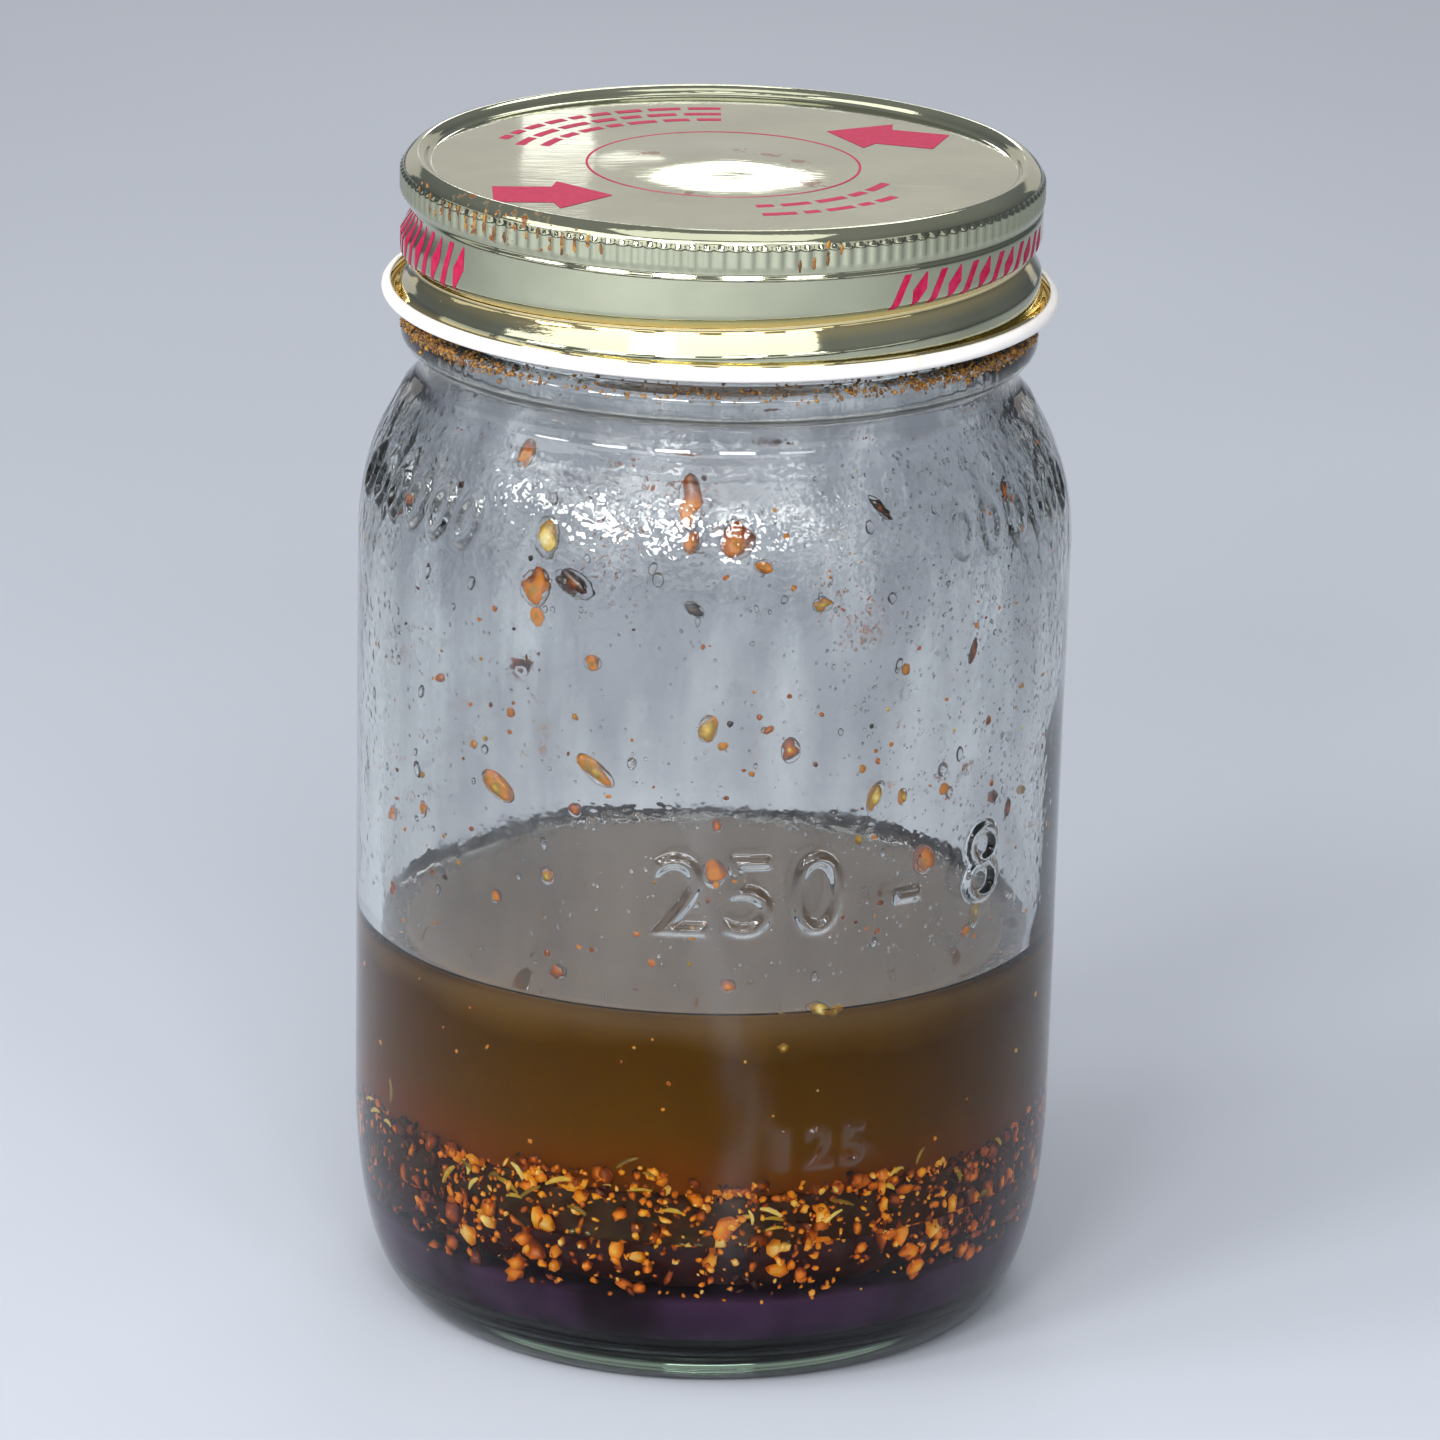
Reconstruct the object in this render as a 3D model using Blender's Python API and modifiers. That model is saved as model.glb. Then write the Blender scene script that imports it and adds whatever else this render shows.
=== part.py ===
"""A pint preserving jar with a one-piece screw lid, half full of an oil and vinegar dressing.

Units are metres, +Z is up and the origin is the middle of the base on the table.
Angles run counterclockwise seen from above, and the jar's front faces -Y.
"""
import bpy
import bmesh
import math
import random
from mathutils import Matrix, Vector

MM = 0.001

# Screw thread, shared by the glass and the lid
PITCH = 6.35 * MM                # four turns to the inch
THREAD_START = math.pi           # angle at which the lid's groove is lowest
GROOVE_Z = 120.1 * MM            # middle of the lid's groove at that angle
GROOVE_TURNS = 1.0               # full-depth length of the groove, in turns
GROOVE_FADE = 0.12               # run-out at each end, in turns
GROOVE_DEPTH = 1.45 * MM
GROOVE_HALF_WIDTH = 1.75 * MM
RIDGE_ABOVE_GROOVE = 2.0 * MM    # the lid's groove pulls up against the ridge from below
RIDGE_FIRST_TURN = -0.78
RIDGE_LAST_TURN = 0.80
RIDGE_FADE = 0.16
RIDGE_CREST_RADIUS = 34.7 * MM
RIDGE_BASE_HALF = 1.5 * MM
RIDGE_CREST_HALF = 0.5 * MM

# Glass
JAR_TOP = 130.3 * MM
FINISH_RADIUS = 33.3 * MM        # wall that carries the thread
MOUTH_RADIUS = 30.6 * MM
LIP_CHAMFER = 0.7 * MM
BEAD_RADIUS = 35.5 * MM          # transfer bead under the thread
BEAD_TOP = 115.2 * MM
BEAD_BOTTOM = 110.9 * MM
NECK_Z = 109.3 * MM
SHOULDER_RADIUS = 40.1 * MM
SHOULDER_Z = 90.0 * MM
HEEL_RADIUS = 39.7 * MM
HEEL_Z = 22.0 * MM
FOOT_RADIUS = 32.3 * MM
FOOT_WIDTH = 3.2 * MM
PUSH_UP = 1.2 * MM
WALL = 2.8 * MM
FLOOR_TOP = 3.6 * MM
JAR_SIDES = 60

# Lid, rolled from one sheet of tinplate
SHEET = 0.25 * MM
PANEL_Z = 131.6 * MM
PANEL_RADIUS = 32.5 * MM
DOME_RADIUS = 14.2 * MM
DOME_RISE = 0.75 * MM
CROWN_Z = 132.7 * MM
CROWN_RADIUS = 34.1 * MM
KNURL_TOP = 131.1 * MM
KNURL_BOTTOM = 128.5 * MM
KNURL_RADIUS = 35.8 * MM
KNURL_DEPTH = 0.38 * MM
FLUTES = 144
SKIRT_RADIUS = 35.65 * MM
CREASE_Z = 128.0 * MM
CREASE_RADIUS = 35.45 * MM
CURL_RADIUS = 36.9 * MM          # middle of the curled edge
CURL_Z = 117.44 * MM
CURL_HOLLOW = 0.55 * MM
LID_SIDES = 48
ROWS_PER_TURN = 6
SKIRT_ROWS = 9

# Sealing ring moulded into the lid's channel
GASKET_INNER = 31.2 * MM
GASKET_OUTER = 34.7 * MM
GASKET_STEP = 33.8 * MM
GASKET_BOTTOM = 130.6 * MM
GASKET_PAD_TOP = 131.05 * MM
GASKET_TOP = 131.9 * MM
GASKET_SIDES = 36

# Contents, from the bottom up
GAP = 0.3 * MM                   # between layers
FIT = 0.45 * MM                  # to the faceted glass wall
VINEGAR_TOP = 12.6 * MM
BED_TOP = 25.0 * MM
OIL_BOTTOM = 26.5 * MM
OIL_TOP = 44.2 * MM
MENISCUS = 1.1 * MM
FILL_SIDES = 36
BED_LEVELS = 6
BED_RING = 21.0 * MM
BED_LUMP = 1.4 * MM              # the larger crumbs stand out this far
NEEDLE_COUNT = 12
NEEDLE_RADIUS = 0.42 * MM
NEEDLE_SPACING = 1.7 * MM
FLAKE_THICKNESS = 0.8 * MM

# Herb and pepper flakes that cling to the wall above the dressing:
# angle in degrees, height, width and length in millimetres
WALL_FLAKES = (
    (241, 95.0, 2.3, 3.0), (237, 90.8, 2.8, 3.3), (247, 93.4, 3.6, 2.4), (288, 91.8, 1.9, 1.4),
    (273, 94.6, 3.0, 4.2), (250, 84.6, 1.6, 1.5), (270, 78.1, 1.8, 2.6), (283, 75.6, 2.2, 2.5),
    (251, 72.4, 4.3, 1.8), (232, 68.4, 3.6, 2.0), (299, 69.3, 1.6, 3.2), (271, 61.5, 2.3, 2.7),
    (243, 59.4, 1.6, 1.6), (309, 60.9, 2.2, 2.8), (322, 53.0, 1.6, 2.8), (206, 51.9, 1.5, 2.0),
    (330, 63.7, 1.2, 2.2), (96, 82.0, 2.4, 3.0), (61, 70.5, 2.0, 2.8), (128, 64.0, 2.6, 2.0),
    (35, 57.0, 1.8, 2.4), (155, 88.5, 2.0, 2.6),
)

COLORS = {
    "jar_glass": ((0.80, 0.86, 0.82), 0.05, 0.0),
    "lid_shell": ((0.66, 0.66, 0.58), 0.35, 0.9),
    "lid_gasket": ((0.86, 0.85, 0.80), 0.60, 0.0),
    "vinegar_layer": ((0.16, 0.09, 0.13), 0.10, 0.0),
    "seasoning_bed": ((0.72, 0.40, 0.08), 0.70, 0.0),
    "herb_needle": ((0.70, 0.62, 0.34), 0.65, 0.0),
    "oil_layer": ((0.23, 0.15, 0.03), 0.08, 0.0),
    "wall_flake": ((0.80, 0.42, 0.08), 0.60, 0.0),
}


def clear_scene():
    for obj in list(bpy.data.objects):
        bpy.data.objects.remove(obj, do_unlink=True)


def add_collection(name):
    collection = bpy.data.collections.new(name)
    bpy.context.scene.collection.children.link(collection)
    return collection


def add_object(name, mesh, collection, cutter=False):
    obj = bpy.data.objects.new(name, mesh)
    collection.objects.link(obj)
    if cutter:
        obj.hide_render = True
        obj.display_type = 'WIRE'
        return obj
    color, roughness, metallic = COLORS[name.rstrip("_0123456789")]
    material = bpy.data.materials.new(name)
    material.use_nodes = True
    shader = material.node_tree.nodes["Principled BSDF"]
    shader.inputs["Base Color"].default_value = (*color, 1.0)
    shader.inputs["Roughness"].default_value = roughness
    shader.inputs["Metallic"].default_value = metallic
    mesh.materials.append(material)
    return obj


def smooth(mesh, angle=40):
    mesh.shade_smooth()
    mesh.set_sharp_from_angle(angle=math.radians(angle))


def ease(value):
    """Rises smoothly from 0 to 1."""
    value = min(1.0, max(0.0, value))
    return value * value * (3.0 - 2.0 * value)


def arc(center, radius, start, end, steps):
    """Points of a round stretch of a profile, with angles in degrees."""
    points = []
    for step in range(steps + 1):
        angle = math.radians(start + (end - start) * step / steps)
        points.append((center[0] + radius * math.cos(angle), center[1] + radius * math.sin(angle)))
    return points


def curve_through(start, control, end, steps):
    """Points of a smooth bend from start to end that leans towards the control point."""
    points = []
    for step in range(steps + 1):
        t = step / steps
        weights = ((1 - t) ** 2, 2 * t * (1 - t), t * t)
        points.append(tuple(sum(w * p[axis] for w, p in zip(weights, (start, control, end)))
                            for axis in range(2)))
    return points


def turned(name, profile, sides, collection, closed=False):
    """An object turned around +Z from a profile of radius and height, top to bottom outside."""
    mesh = bpy.data.meshes.new(name)
    count = len(profile)
    edges = [(i, i + 1) for i in range(count - 1)]
    if closed:
        edges.append((count - 1, 0))
    mesh.from_pydata([(radius, 0.0, height) for radius, height in profile], edges, [])
    obj = add_object(name, mesh, collection)
    screw = obj.modifiers.new("Turn", 'SCREW')
    screw.axis = 'Z'
    screw.steps = sides
    screw.render_steps = sides
    screw.use_merge_vertices = True
    screw.merge_threshold = 0.00001
    screw.use_smooth_shade = True
    return obj


def heel_curve(steps):
    """The outside of the jar's heel, from the body down to the foot."""
    return curve_through((HEEL_RADIUS, HEEL_Z), (38.9 * MM, 1.4 * MM), (FOOT_RADIUS, 0.0), steps)


def inner_heel():
    """The inside of the jar from the middle of the floor to the straight wall."""
    floor = [(0.0, FLOOR_TOP + 0.5 * MM), (20.0 * MM, FLOOR_TOP)]
    control = (36.6 * MM, FLOOR_TOP + 0.6 * MM)
    wall_foot = (HEEL_RADIUS - WALL, HEEL_Z - 2.0 * MM)
    return floor + curve_through((29.5 * MM, FLOOR_TOP + 0.1 * MM), control, wall_foot, 4)


def inside_profile():
    """The inside of the jar from the middle of the floor to the mouth."""
    turn = (33.6 * MM, 103.4 * MM)
    wall_head = (SHOULDER_RADIUS - WALL, SHOULDER_Z - 1.0 * MM)
    shoulder = curve_through(wall_head, (37.1 * MM, 97.5 * MM), turn, 3)
    neck = curve_through(turn, (30.8 * MM, 107.2 * MM), (MOUTH_RADIUS, 112.0 * MM), 3)[1:]
    return inner_heel() + shoulder + neck + [(MOUTH_RADIUS, JAR_TOP - LIP_CHAMFER)]


def inside_radius(height):
    """Radius of the jar's inside at a height above the floor's bend."""
    profile = inside_profile()
    for below, above in zip(profile, profile[1:]):
        if below[1] <= height <= above[1] and above[1] > below[1]:
            share = (height - below[1]) / (above[1] - below[1])
            return below[0] + share * (above[0] - below[0])
    return MOUTH_RADIUS


def jar_profile():
    """The glass section: down the outside, under the base and up the inside."""
    lip = [(MOUTH_RADIUS + LIP_CHAMFER, JAR_TOP),
           (FINISH_RADIUS - LIP_CHAMFER, JAR_TOP),
           (FINISH_RADIUS, JAR_TOP - LIP_CHAMFER)]
    bead_middle = (BEAD_TOP + BEAD_BOTTOM) / 2
    bead = [(FINISH_RADIUS, BEAD_TOP),
            (BEAD_RADIUS - 0.5 * MM, BEAD_TOP - 0.6 * MM),
            (BEAD_RADIUS, bead_middle + 0.8 * MM),
            (BEAD_RADIUS, bead_middle - 0.7 * MM),
            (BEAD_RADIUS - 0.6 * MM, BEAD_BOTTOM + 0.5 * MM),
            (FINISH_RADIUS + 0.2 * MM, BEAD_BOTTOM)]
    shoulder = [(FINISH_RADIUS, NECK_Z)]
    shoulder += curve_through((33.5 * MM, 107.7 * MM), (35.0 * MM, 105.8 * MM), (36.8 * MM, 102.9 * MM), 2)
    shoulder += curve_through((36.8 * MM, 102.9 * MM), (39.9 * MM, 97.6 * MM),
                              (SHOULDER_RADIUS, SHOULDER_Z), 4)[1:]
    base = [(FOOT_RADIUS - FOOT_WIDTH, 0.0),
            (27.0 * MM, 0.9 * MM),
            (0.0, PUSH_UP)]
    return lip + bead + shoulder + heel_curve(6) + base + inside_profile()


def helix_height(turn):
    """Height of the middle of the lid's groove after a number of turns."""
    return GROOVE_Z + PITCH * turn


def ridge_mesh():
    """The glass thread: one unbroken ridge along the helix that sinks into the wall at both ends."""
    mesh = bpy.data.meshes.new("thread_ridge")
    bm = bmesh.new()
    steps = round((RIDGE_LAST_TURN - RIDGE_FIRST_TURN) * JAR_SIDES)
    root = FINISH_RADIUS - 0.5 * MM
    sections = []
    for step in range(steps + 1):
        turn = RIDGE_FIRST_TURN + (RIDGE_LAST_TURN - RIDGE_FIRST_TURN) * step / steps
        from_end = min(turn - RIDGE_FIRST_TURN, RIDGE_LAST_TURN - turn)
        rise = ease(from_end / RIDGE_FADE)
        crest = FINISH_RADIUS - 0.2 * MM + rise * (RIDGE_CREST_RADIUS - FINISH_RADIUS + 0.2 * MM)
        angle = THREAD_START + math.tau * turn
        middle = helix_height(turn) + RIDGE_ABOVE_GROOVE
        corners = ((root, -RIDGE_BASE_HALF), (crest, -RIDGE_CREST_HALF),
                   (crest, RIDGE_CREST_HALF), (root, RIDGE_BASE_HALF))
        sections.append([bm.verts.new((r * math.cos(angle), r * math.sin(angle), middle + dz))
                         for r, dz in corners])
    for section, following in zip(sections, sections[1:]):
        for corner in range(4):
            after = (corner + 1) % 4
            bm.faces.new((section[corner], following[corner], following[after], section[after]))
    bm.faces.new(sections[0])
    bm.faces.new(reversed(sections[-1]))
    bmesh.ops.recalc_face_normals(bm, faces=bm.faces)
    bm.to_mesh(mesh)
    bm.free()
    return mesh


def make_jar(parts, cutters):
    jar = turned("jar_glass", jar_profile(), JAR_SIDES, parts, closed=True)
    ridge = add_object("thread_ridge", ridge_mesh(), cutters, cutter=True)
    union = jar.modifiers.new("Thread", 'BOOLEAN')
    union.operation = 'UNION'
    union.solver = 'EXACT'
    union.object = ridge
    return jar


def ring(bm, radius, height, sides, flute=0.0):
    """One ring of the lid's sheet. A flute depth makes every second point a valley."""
    points = []
    for side in range(sides):
        angle = THREAD_START + math.tau * side / sides
        here = radius - flute * (side % 2)
        points.append(bm.verts.new((here * math.cos(angle), here * math.sin(angle), height)))
    return points


def join_rings(bm, upper, lower):
    """Faces between two rings, one of which may have a whole multiple of the other's points."""
    coarse, fine = (upper, lower) if len(upper) <= len(lower) else (lower, upper)
    flip = coarse is lower
    share = len(fine) // len(coarse)
    for side in range(len(coarse)):
        after = (side + 1) % len(coarse)
        run = [fine[(side * share + step) % len(fine)] for step in range(share + 1)]
        if share == 1:
            faces = [(coarse[side], run[0], run[1], coarse[after])]
        else:
            half = share // 2
            faces = [(coarse[side], run[step], run[step + 1]) for step in range(half)]
            faces.append((coarse[side], run[half], coarse[after]))
            faces += [(coarse[after], run[step], run[step + 1]) for step in range(half, share)]
        for face in faces:
            bm.faces.new(tuple(reversed(face)) if flip else face)


def groove(turn, height):
    """How far the rolled thread pushes the skirt in, at a point of the first turn."""
    depth = 0.0
    for lap in (-1, 0, 1):
        along = turn + lap
        run_in = ease((along + GROOVE_FADE) / GROOVE_FADE)
        run_out = ease((GROOVE_TURNS + GROOVE_FADE - along) / GROOVE_FADE)
        across = (height - helix_height(along)) / GROOVE_HALF_WIDTH
        if abs(across) < 1.0:
            depth += GROOVE_DEPTH * run_in * run_out * math.cos(across * math.pi / 2) ** 2
    return depth


def skirt_band(bm, upper, lower):
    """The threaded part of the skirt. Its rows climb with the helix and are trimmed by the two rings."""
    row_height = PITCH / ROWS_PER_TURN
    top = upper[0].co.z
    bottom = lower[0].co.z
    made = {}

    def point(side, row):
        turn = side / LID_SIDES
        height = bottom + row_height * (row + ROWS_PER_TURN * turn)
        column = side % LID_SIDES
        if height <= bottom + 0.01 * row_height:
            return lower[column]
        if height >= top - 0.01 * row_height:
            return upper[column]
        key = (column, round(height / MM, 4))
        if key not in made:
            radius = SKIRT_RADIUS - groove(turn % 1.0, height)
            angle = THREAD_START + math.tau * turn
            made[key] = bm.verts.new((radius * math.cos(angle), radius * math.sin(angle), height))
        return made[key]

    for side in range(LID_SIDES):
        for row in range(-ROWS_PER_TURN, SKIRT_ROWS):
            corners = (point(side, row + 1), point(side, row),
                       point(side + 1, row), point(side + 1, row + 1))
            face = list(dict.fromkeys(corners))
            if len(face) > 2 and len({round(vert.co.z, 7) for vert in face}) > 1:
                bm.faces.new(face)


def make_lid(parts):
    mesh = bpy.data.meshes.new("lid_shell")
    bm = bmesh.new()

    def rings(outline):
        return [ring(bm, radius, height, LID_SIDES) for radius, height in outline]

    dome = [(DOME_RADIUS * share, PANEL_Z + DOME_RISE * (1 - ease(share))) for share in (0.4, 0.75, 1.0)]
    crown = [(PANEL_RADIUS, PANEL_Z),
             (PANEL_RADIUS + 0.55 * MM, PANEL_Z + 0.7 * MM),
             (CROWN_RADIUS, CROWN_Z),
             (CROWN_RADIUS + 1.0 * MM, CROWN_Z - 0.55 * MM),
             (CREASE_RADIUS, KNURL_TOP + 0.3 * MM)]
    above = rings(dome + crown)
    knurl = [ring(bm, KNURL_RADIUS, height, 2 * FLUTES, KNURL_DEPTH) for height in (KNURL_TOP, KNURL_BOTTOM)]
    skirt_bottom = GROOVE_Z - 2 * PITCH / ROWS_PER_TURN
    skirt_top = skirt_bottom + SKIRT_ROWS * PITCH / ROWS_PER_TURN
    crease = rings([(CREASE_RADIUS, CREASE_Z), (SKIRT_RADIUS, skirt_top)])
    curl = rings([(SKIRT_RADIUS, skirt_bottom)] + arc((CURL_RADIUS, CURL_Z), CURL_HOLLOW, 200, 470, 4))

    middle = bm.verts.new((0.0, 0.0, PANEL_Z + DOME_RISE))
    for side in range(LID_SIDES):
        bm.faces.new((middle, above[0][side], above[0][(side + 1) % LID_SIDES]))
    for stack in (above + knurl + crease, curl):
        for upper, lower in zip(stack, stack[1:]):
            join_rings(bm, upper, lower)
    skirt_band(bm, crease[-1], curl[0])
    bm.to_mesh(mesh)
    bm.free()
    smooth(mesh, 50)

    lid = add_object("lid_shell", mesh, parts)
    sheet = lid.modifiers.new("Sheet", 'SOLIDIFY')
    sheet.thickness = SHEET
    sheet.offset = -1.0
    sheet.use_quality_normals = True
    return lid


def make_gasket(parts):
    profile = [(GASKET_STEP, GASKET_TOP), (GASKET_OUTER - 0.15 * MM, GASKET_TOP),
               (GASKET_OUTER, GASKET_TOP - 0.3 * MM), (GASKET_OUTER, GASKET_BOTTOM),
               (GASKET_INNER, GASKET_BOTTOM), (GASKET_INNER, GASKET_PAD_TOP),
               (GASKET_STEP, GASKET_PAD_TOP)]
    return turned("lid_gasket", profile, GASKET_SIDES, parts, closed=True)


def drawn_in(points, gap):
    """A profile that runs outward and up, moved by the gap towards the hollow on its left."""
    moved = []
    for index, (radius, height) in enumerate(points):
        before = points[max(0, index - 1)]
        after = points[min(len(points) - 1, index + 1)]
        along = Vector((after[0] - before[0], after[1] - before[1])).normalized()
        shift = 0.0 if radius == 0.0 else -along.y * gap
        moved.append((radius + shift, height + along.x * gap))
    return moved


def make_vinegar(parts):
    floor = drawn_in(inner_heel(), FIT)
    below = [point for point in reversed(floor) if point[1] < VINEGAR_TOP - 1.0 * MM]
    side = below[0][0] + 0.3 * MM
    profile = [(0.0, VINEGAR_TOP), (side, VINEGAR_TOP)] + below
    return turned("vinegar_layer", profile, FILL_SIDES, parts)


def make_bed(parts):
    """Steeped garlic and chilli that settle between the vinegar and the oil, as one bed of coarse lumps."""
    low = VINEGAR_TOP + GAP
    mesh = bpy.data.meshes.new("seasoning_bed")
    bm = bmesh.new()
    rng = random.Random(4)
    outline = []
    for level in range(BED_LEVELS):
        height = low + (BED_TOP - low) * level / (BED_LEVELS - 1)
        outline.append((inside_radius(height) - FIT, height))
    outline.append((BED_RING, BED_TOP))
    rows = []
    for level, (limit, height) in enumerate(outline):
        on_top = level == BED_LEVELS
        row = []
        for side in range(FILL_SIDES):
            angle = math.tau * (side + 0.5 * (level % 2)) / FILL_SIDES
            lump = BED_LUMP * rng.random()
            radius = limit - lump
            drop = lump if on_top else 0.0
            row.append(bm.verts.new((radius * math.cos(angle), radius * math.sin(angle), height - drop)))
        rows.append(row)
    for lower, upper in zip(rows, rows[1:]):
        for side in range(FILL_SIDES):
            after = (side + 1) % FILL_SIDES
            bm.faces.new((lower[side], lower[after], upper[after], upper[side]))
    middle = bm.verts.new((0.0, 0.0, BED_TOP))
    for side in range(FILL_SIDES):
        bm.faces.new((rows[-1][side], rows[-1][(side + 1) % FILL_SIDES], middle))
    bm.faces.new(list(reversed(rows[0])))
    bm.to_mesh(mesh)
    bm.free()
    return add_object("seasoning_bed", mesh, parts)


def distance_between(first, second):
    """Least distance between two flat needles, measured on points along each."""
    least = 1.0
    for i in range(9):
        for j in range(9):
            p = first[0].lerp(first[1], i / 8)
            q = second[0].lerp(second[1], j / 8)
            least = min(least, (p - q).length)
    return least


def finish_piece(kind, number, bm, parts):
    """One of several loose pieces of a kind, as an object of its own."""
    mesh = bpy.data.meshes.new(kind)
    bm.to_mesh(mesh)
    bm.free()
    smooth(mesh)
    return add_object(f"{kind}_{number:02d}", mesh, parts)


def make_needles(parts):
    """Dried herb needles that lie flat on the bed, none across another."""
    rng = random.Random(11)
    height = BED_TOP + GAP + NEEDLE_RADIUS
    placed = []
    while len(placed) < NEEDLE_COUNT:
        length = rng.uniform(7.0, 15.0) * MM
        angle = rng.uniform(0.0, math.tau)
        reach = 34.8 * MM * math.sqrt(rng.random())
        turn = rng.uniform(0.0, math.tau)
        middle = Vector((reach * math.cos(angle), reach * math.sin(angle), height))
        half = Vector((math.cos(turn), math.sin(turn), 0.0)) * length / 2
        ends = (middle - half, middle + half)
        if max(end.xy.length for end in ends) > 35.2 * MM:
            continue
        if all(distance_between(ends, other) > NEEDLE_SPACING for other in placed):
            placed.append(ends)
    needles = []
    for number, (start, end) in enumerate(placed, 1):
        along = end - start
        bm = bmesh.new()
        place = Matrix.Translation((start + end) / 2) @ along.to_track_quat('Z', 'Y').to_matrix().to_4x4()
        bmesh.ops.create_cone(bm, cap_ends=True, segments=6, radius1=NEEDLE_RADIUS,
                              radius2=0.45 * NEEDLE_RADIUS, depth=along.length, matrix=place)
        needles.append(finish_piece("herb_needle", number, bm, parts))
    return needles


def make_oil(parts):
    radius = inside_radius(OIL_TOP) - FIT
    top = [(0.0, OIL_TOP), (radius - 2.4 * MM, OIL_TOP + 0.05 * MM), (radius - 0.9 * MM, OIL_TOP + 0.4 * MM),
           (radius, OIL_TOP + MENISCUS)]
    bottom_radius = inside_radius(OIL_BOTTOM) - FIT
    profile = top + [(bottom_radius, OIL_BOTTOM), (0.0, OIL_BOTTOM)]
    return turned("oil_layer", profile, FILL_SIDES, parts)


def make_wall_flakes(parts):
    """Flattened flakes against the inside of the glass."""
    flakes = []
    for number, (degrees, height, width, length) in enumerate(WALL_FLAKES, 1):
        reach = inside_radius((height + length / 2) * MM) - FIT - FLAKE_THICKNESS / 2
        place = (Matrix.Rotation(math.radians(degrees), 4, 'Z')
                 @ Matrix.Translation((reach, 0.0, height * MM))
                 @ Matrix.Diagonal((FLAKE_THICKNESS, width * MM, length * MM, 1.0)))
        bm = bmesh.new()
        bmesh.ops.create_icosphere(bm, subdivisions=1, radius=0.5, matrix=place)
        flakes.append(finish_piece("wall_flake", number, bm, parts))
    return flakes


def build():
    clear_scene()
    parts = add_collection("vinaigrette_jar")
    cutters = add_collection("cutters")
    jar = make_jar(parts, cutters)
    contents = [make_vinegar(parts), make_bed(parts), make_oil(parts)]
    contents += make_needles(parts) + make_wall_flakes(parts)
    for piece in contents:
        piece.parent = jar
    carrier = bpy.data.objects.new("lid_axis", None)
    parts.objects.link(carrier)
    for piece in (make_lid(parts), make_gasket(parts)):
        piece.parent = carrier


build()
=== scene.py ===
import math

import bpy
import numpy as np
from mathutils import Matrix, Vector


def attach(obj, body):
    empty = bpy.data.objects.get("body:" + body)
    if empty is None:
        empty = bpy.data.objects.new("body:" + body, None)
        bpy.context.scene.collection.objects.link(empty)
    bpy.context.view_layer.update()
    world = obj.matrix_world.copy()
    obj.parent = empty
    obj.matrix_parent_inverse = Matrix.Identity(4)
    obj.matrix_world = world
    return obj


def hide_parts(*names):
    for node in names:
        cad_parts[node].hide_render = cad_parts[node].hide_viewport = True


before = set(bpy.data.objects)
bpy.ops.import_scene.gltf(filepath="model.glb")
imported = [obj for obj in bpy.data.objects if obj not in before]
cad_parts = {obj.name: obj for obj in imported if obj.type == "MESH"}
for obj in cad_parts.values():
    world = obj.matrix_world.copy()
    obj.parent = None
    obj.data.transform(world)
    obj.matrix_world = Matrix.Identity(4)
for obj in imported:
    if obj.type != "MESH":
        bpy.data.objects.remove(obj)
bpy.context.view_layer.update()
mm = 0.001


def linear(hexCode):
    # sRGB hex to the linear values that shaders want
    parts = [int(hexCode[i:i + 2], 16) / 255 for i in (1, 3, 5)]
    return [p / 12.92 if p <= 0.04045 else ((p + 0.055) / 1.055) ** 2.4 for p in parts] + [1.0]


def newMaterial(name):
    material = bpy.data.materials.new(name)
    material.use_nodes = True
    return material


def addNode(owner, kind, settings=None, links=None):
    # one node of a material or the world, with its settings and with the sockets that feed it
    node = owner.node_tree.nodes.new("ShaderNode" + kind)
    for key, value in (settings or {}).items():
        if key == "stops":
            elements = node.color_ramp.elements
            while len(elements) < len(value):
                elements.new(0.5)
            for element, (place, colour) in zip(elements, value):
                element.position = place
                element.color = linear(colour) if isinstance(colour, str) else (colour, colour, colour, 1)
        elif isinstance(key, int) or key in node.inputs:
            node.inputs[key].default_value = value
        else:
            setattr(node, key, value)
    for key, socket in (links or {}).items():
        owner.node_tree.links.new(socket, node.inputs[key])
    return node


def setShader(material, settings, links=None):
    shader = material.node_tree.nodes["Principled BSDF"]
    for key, value in settings.items():
        shader.inputs[key].default_value = value
    for key, socket in (links or {}).items():
        material.node_tree.links.new(socket, shader.inputs[key])


def absorbLight(material, hexCode, density):
    # what the depth of a clear body takes from the light, per metre
    absorb = addNode(material, "VolumeAbsorption", {"Color": linear(hexCode), "Density": density})
    output = material.node_tree.nodes["Material Output"]
    material.node_tree.links.new(absorb.outputs[0], output.inputs["Volume"])


def deselectAll():
    bpy.ops.object.select_all(action='DESELECT')


def choose(*pieces):
    # selects these pieces and no others, and makes the first one active
    deselectAll()
    for piece in pieces:
        piece.select_set(True)
    bpy.context.view_layer.objects.active = pieces[0]


def pointsOf(piece):
    flat = np.empty(len(piece.data.vertices) * 3)
    piece.data.vertices.foreach_get("co", flat)
    return flat.reshape(-1, 3)


def movePoints(piece, where):
    piece.data.vertices.foreach_set("co", np.ascontiguousarray(where).ravel())
    piece.data.update()


def polar(where):
    angles = np.degrees(np.arctan2(where[:, 1], where[:, 0])) % 360
    return angles, np.hypot(where[:, 0], where[:, 1]), where[:, 2]


def around(angles, radii, heights):
    # points at these angles in degrees round the jar's axis
    turn = np.radians(angles)
    return np.stack([radii * np.cos(turn), radii * np.sin(turn), heights], axis=1)


def reshape(piece, angles, radii, heights):
    # moves the points of a turned piece, and keeps those on the axis there
    where = around(angles, radii, heights)
    where[radii < 1e-7, :2] = 0
    movePoints(piece, where)
    return where


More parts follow.
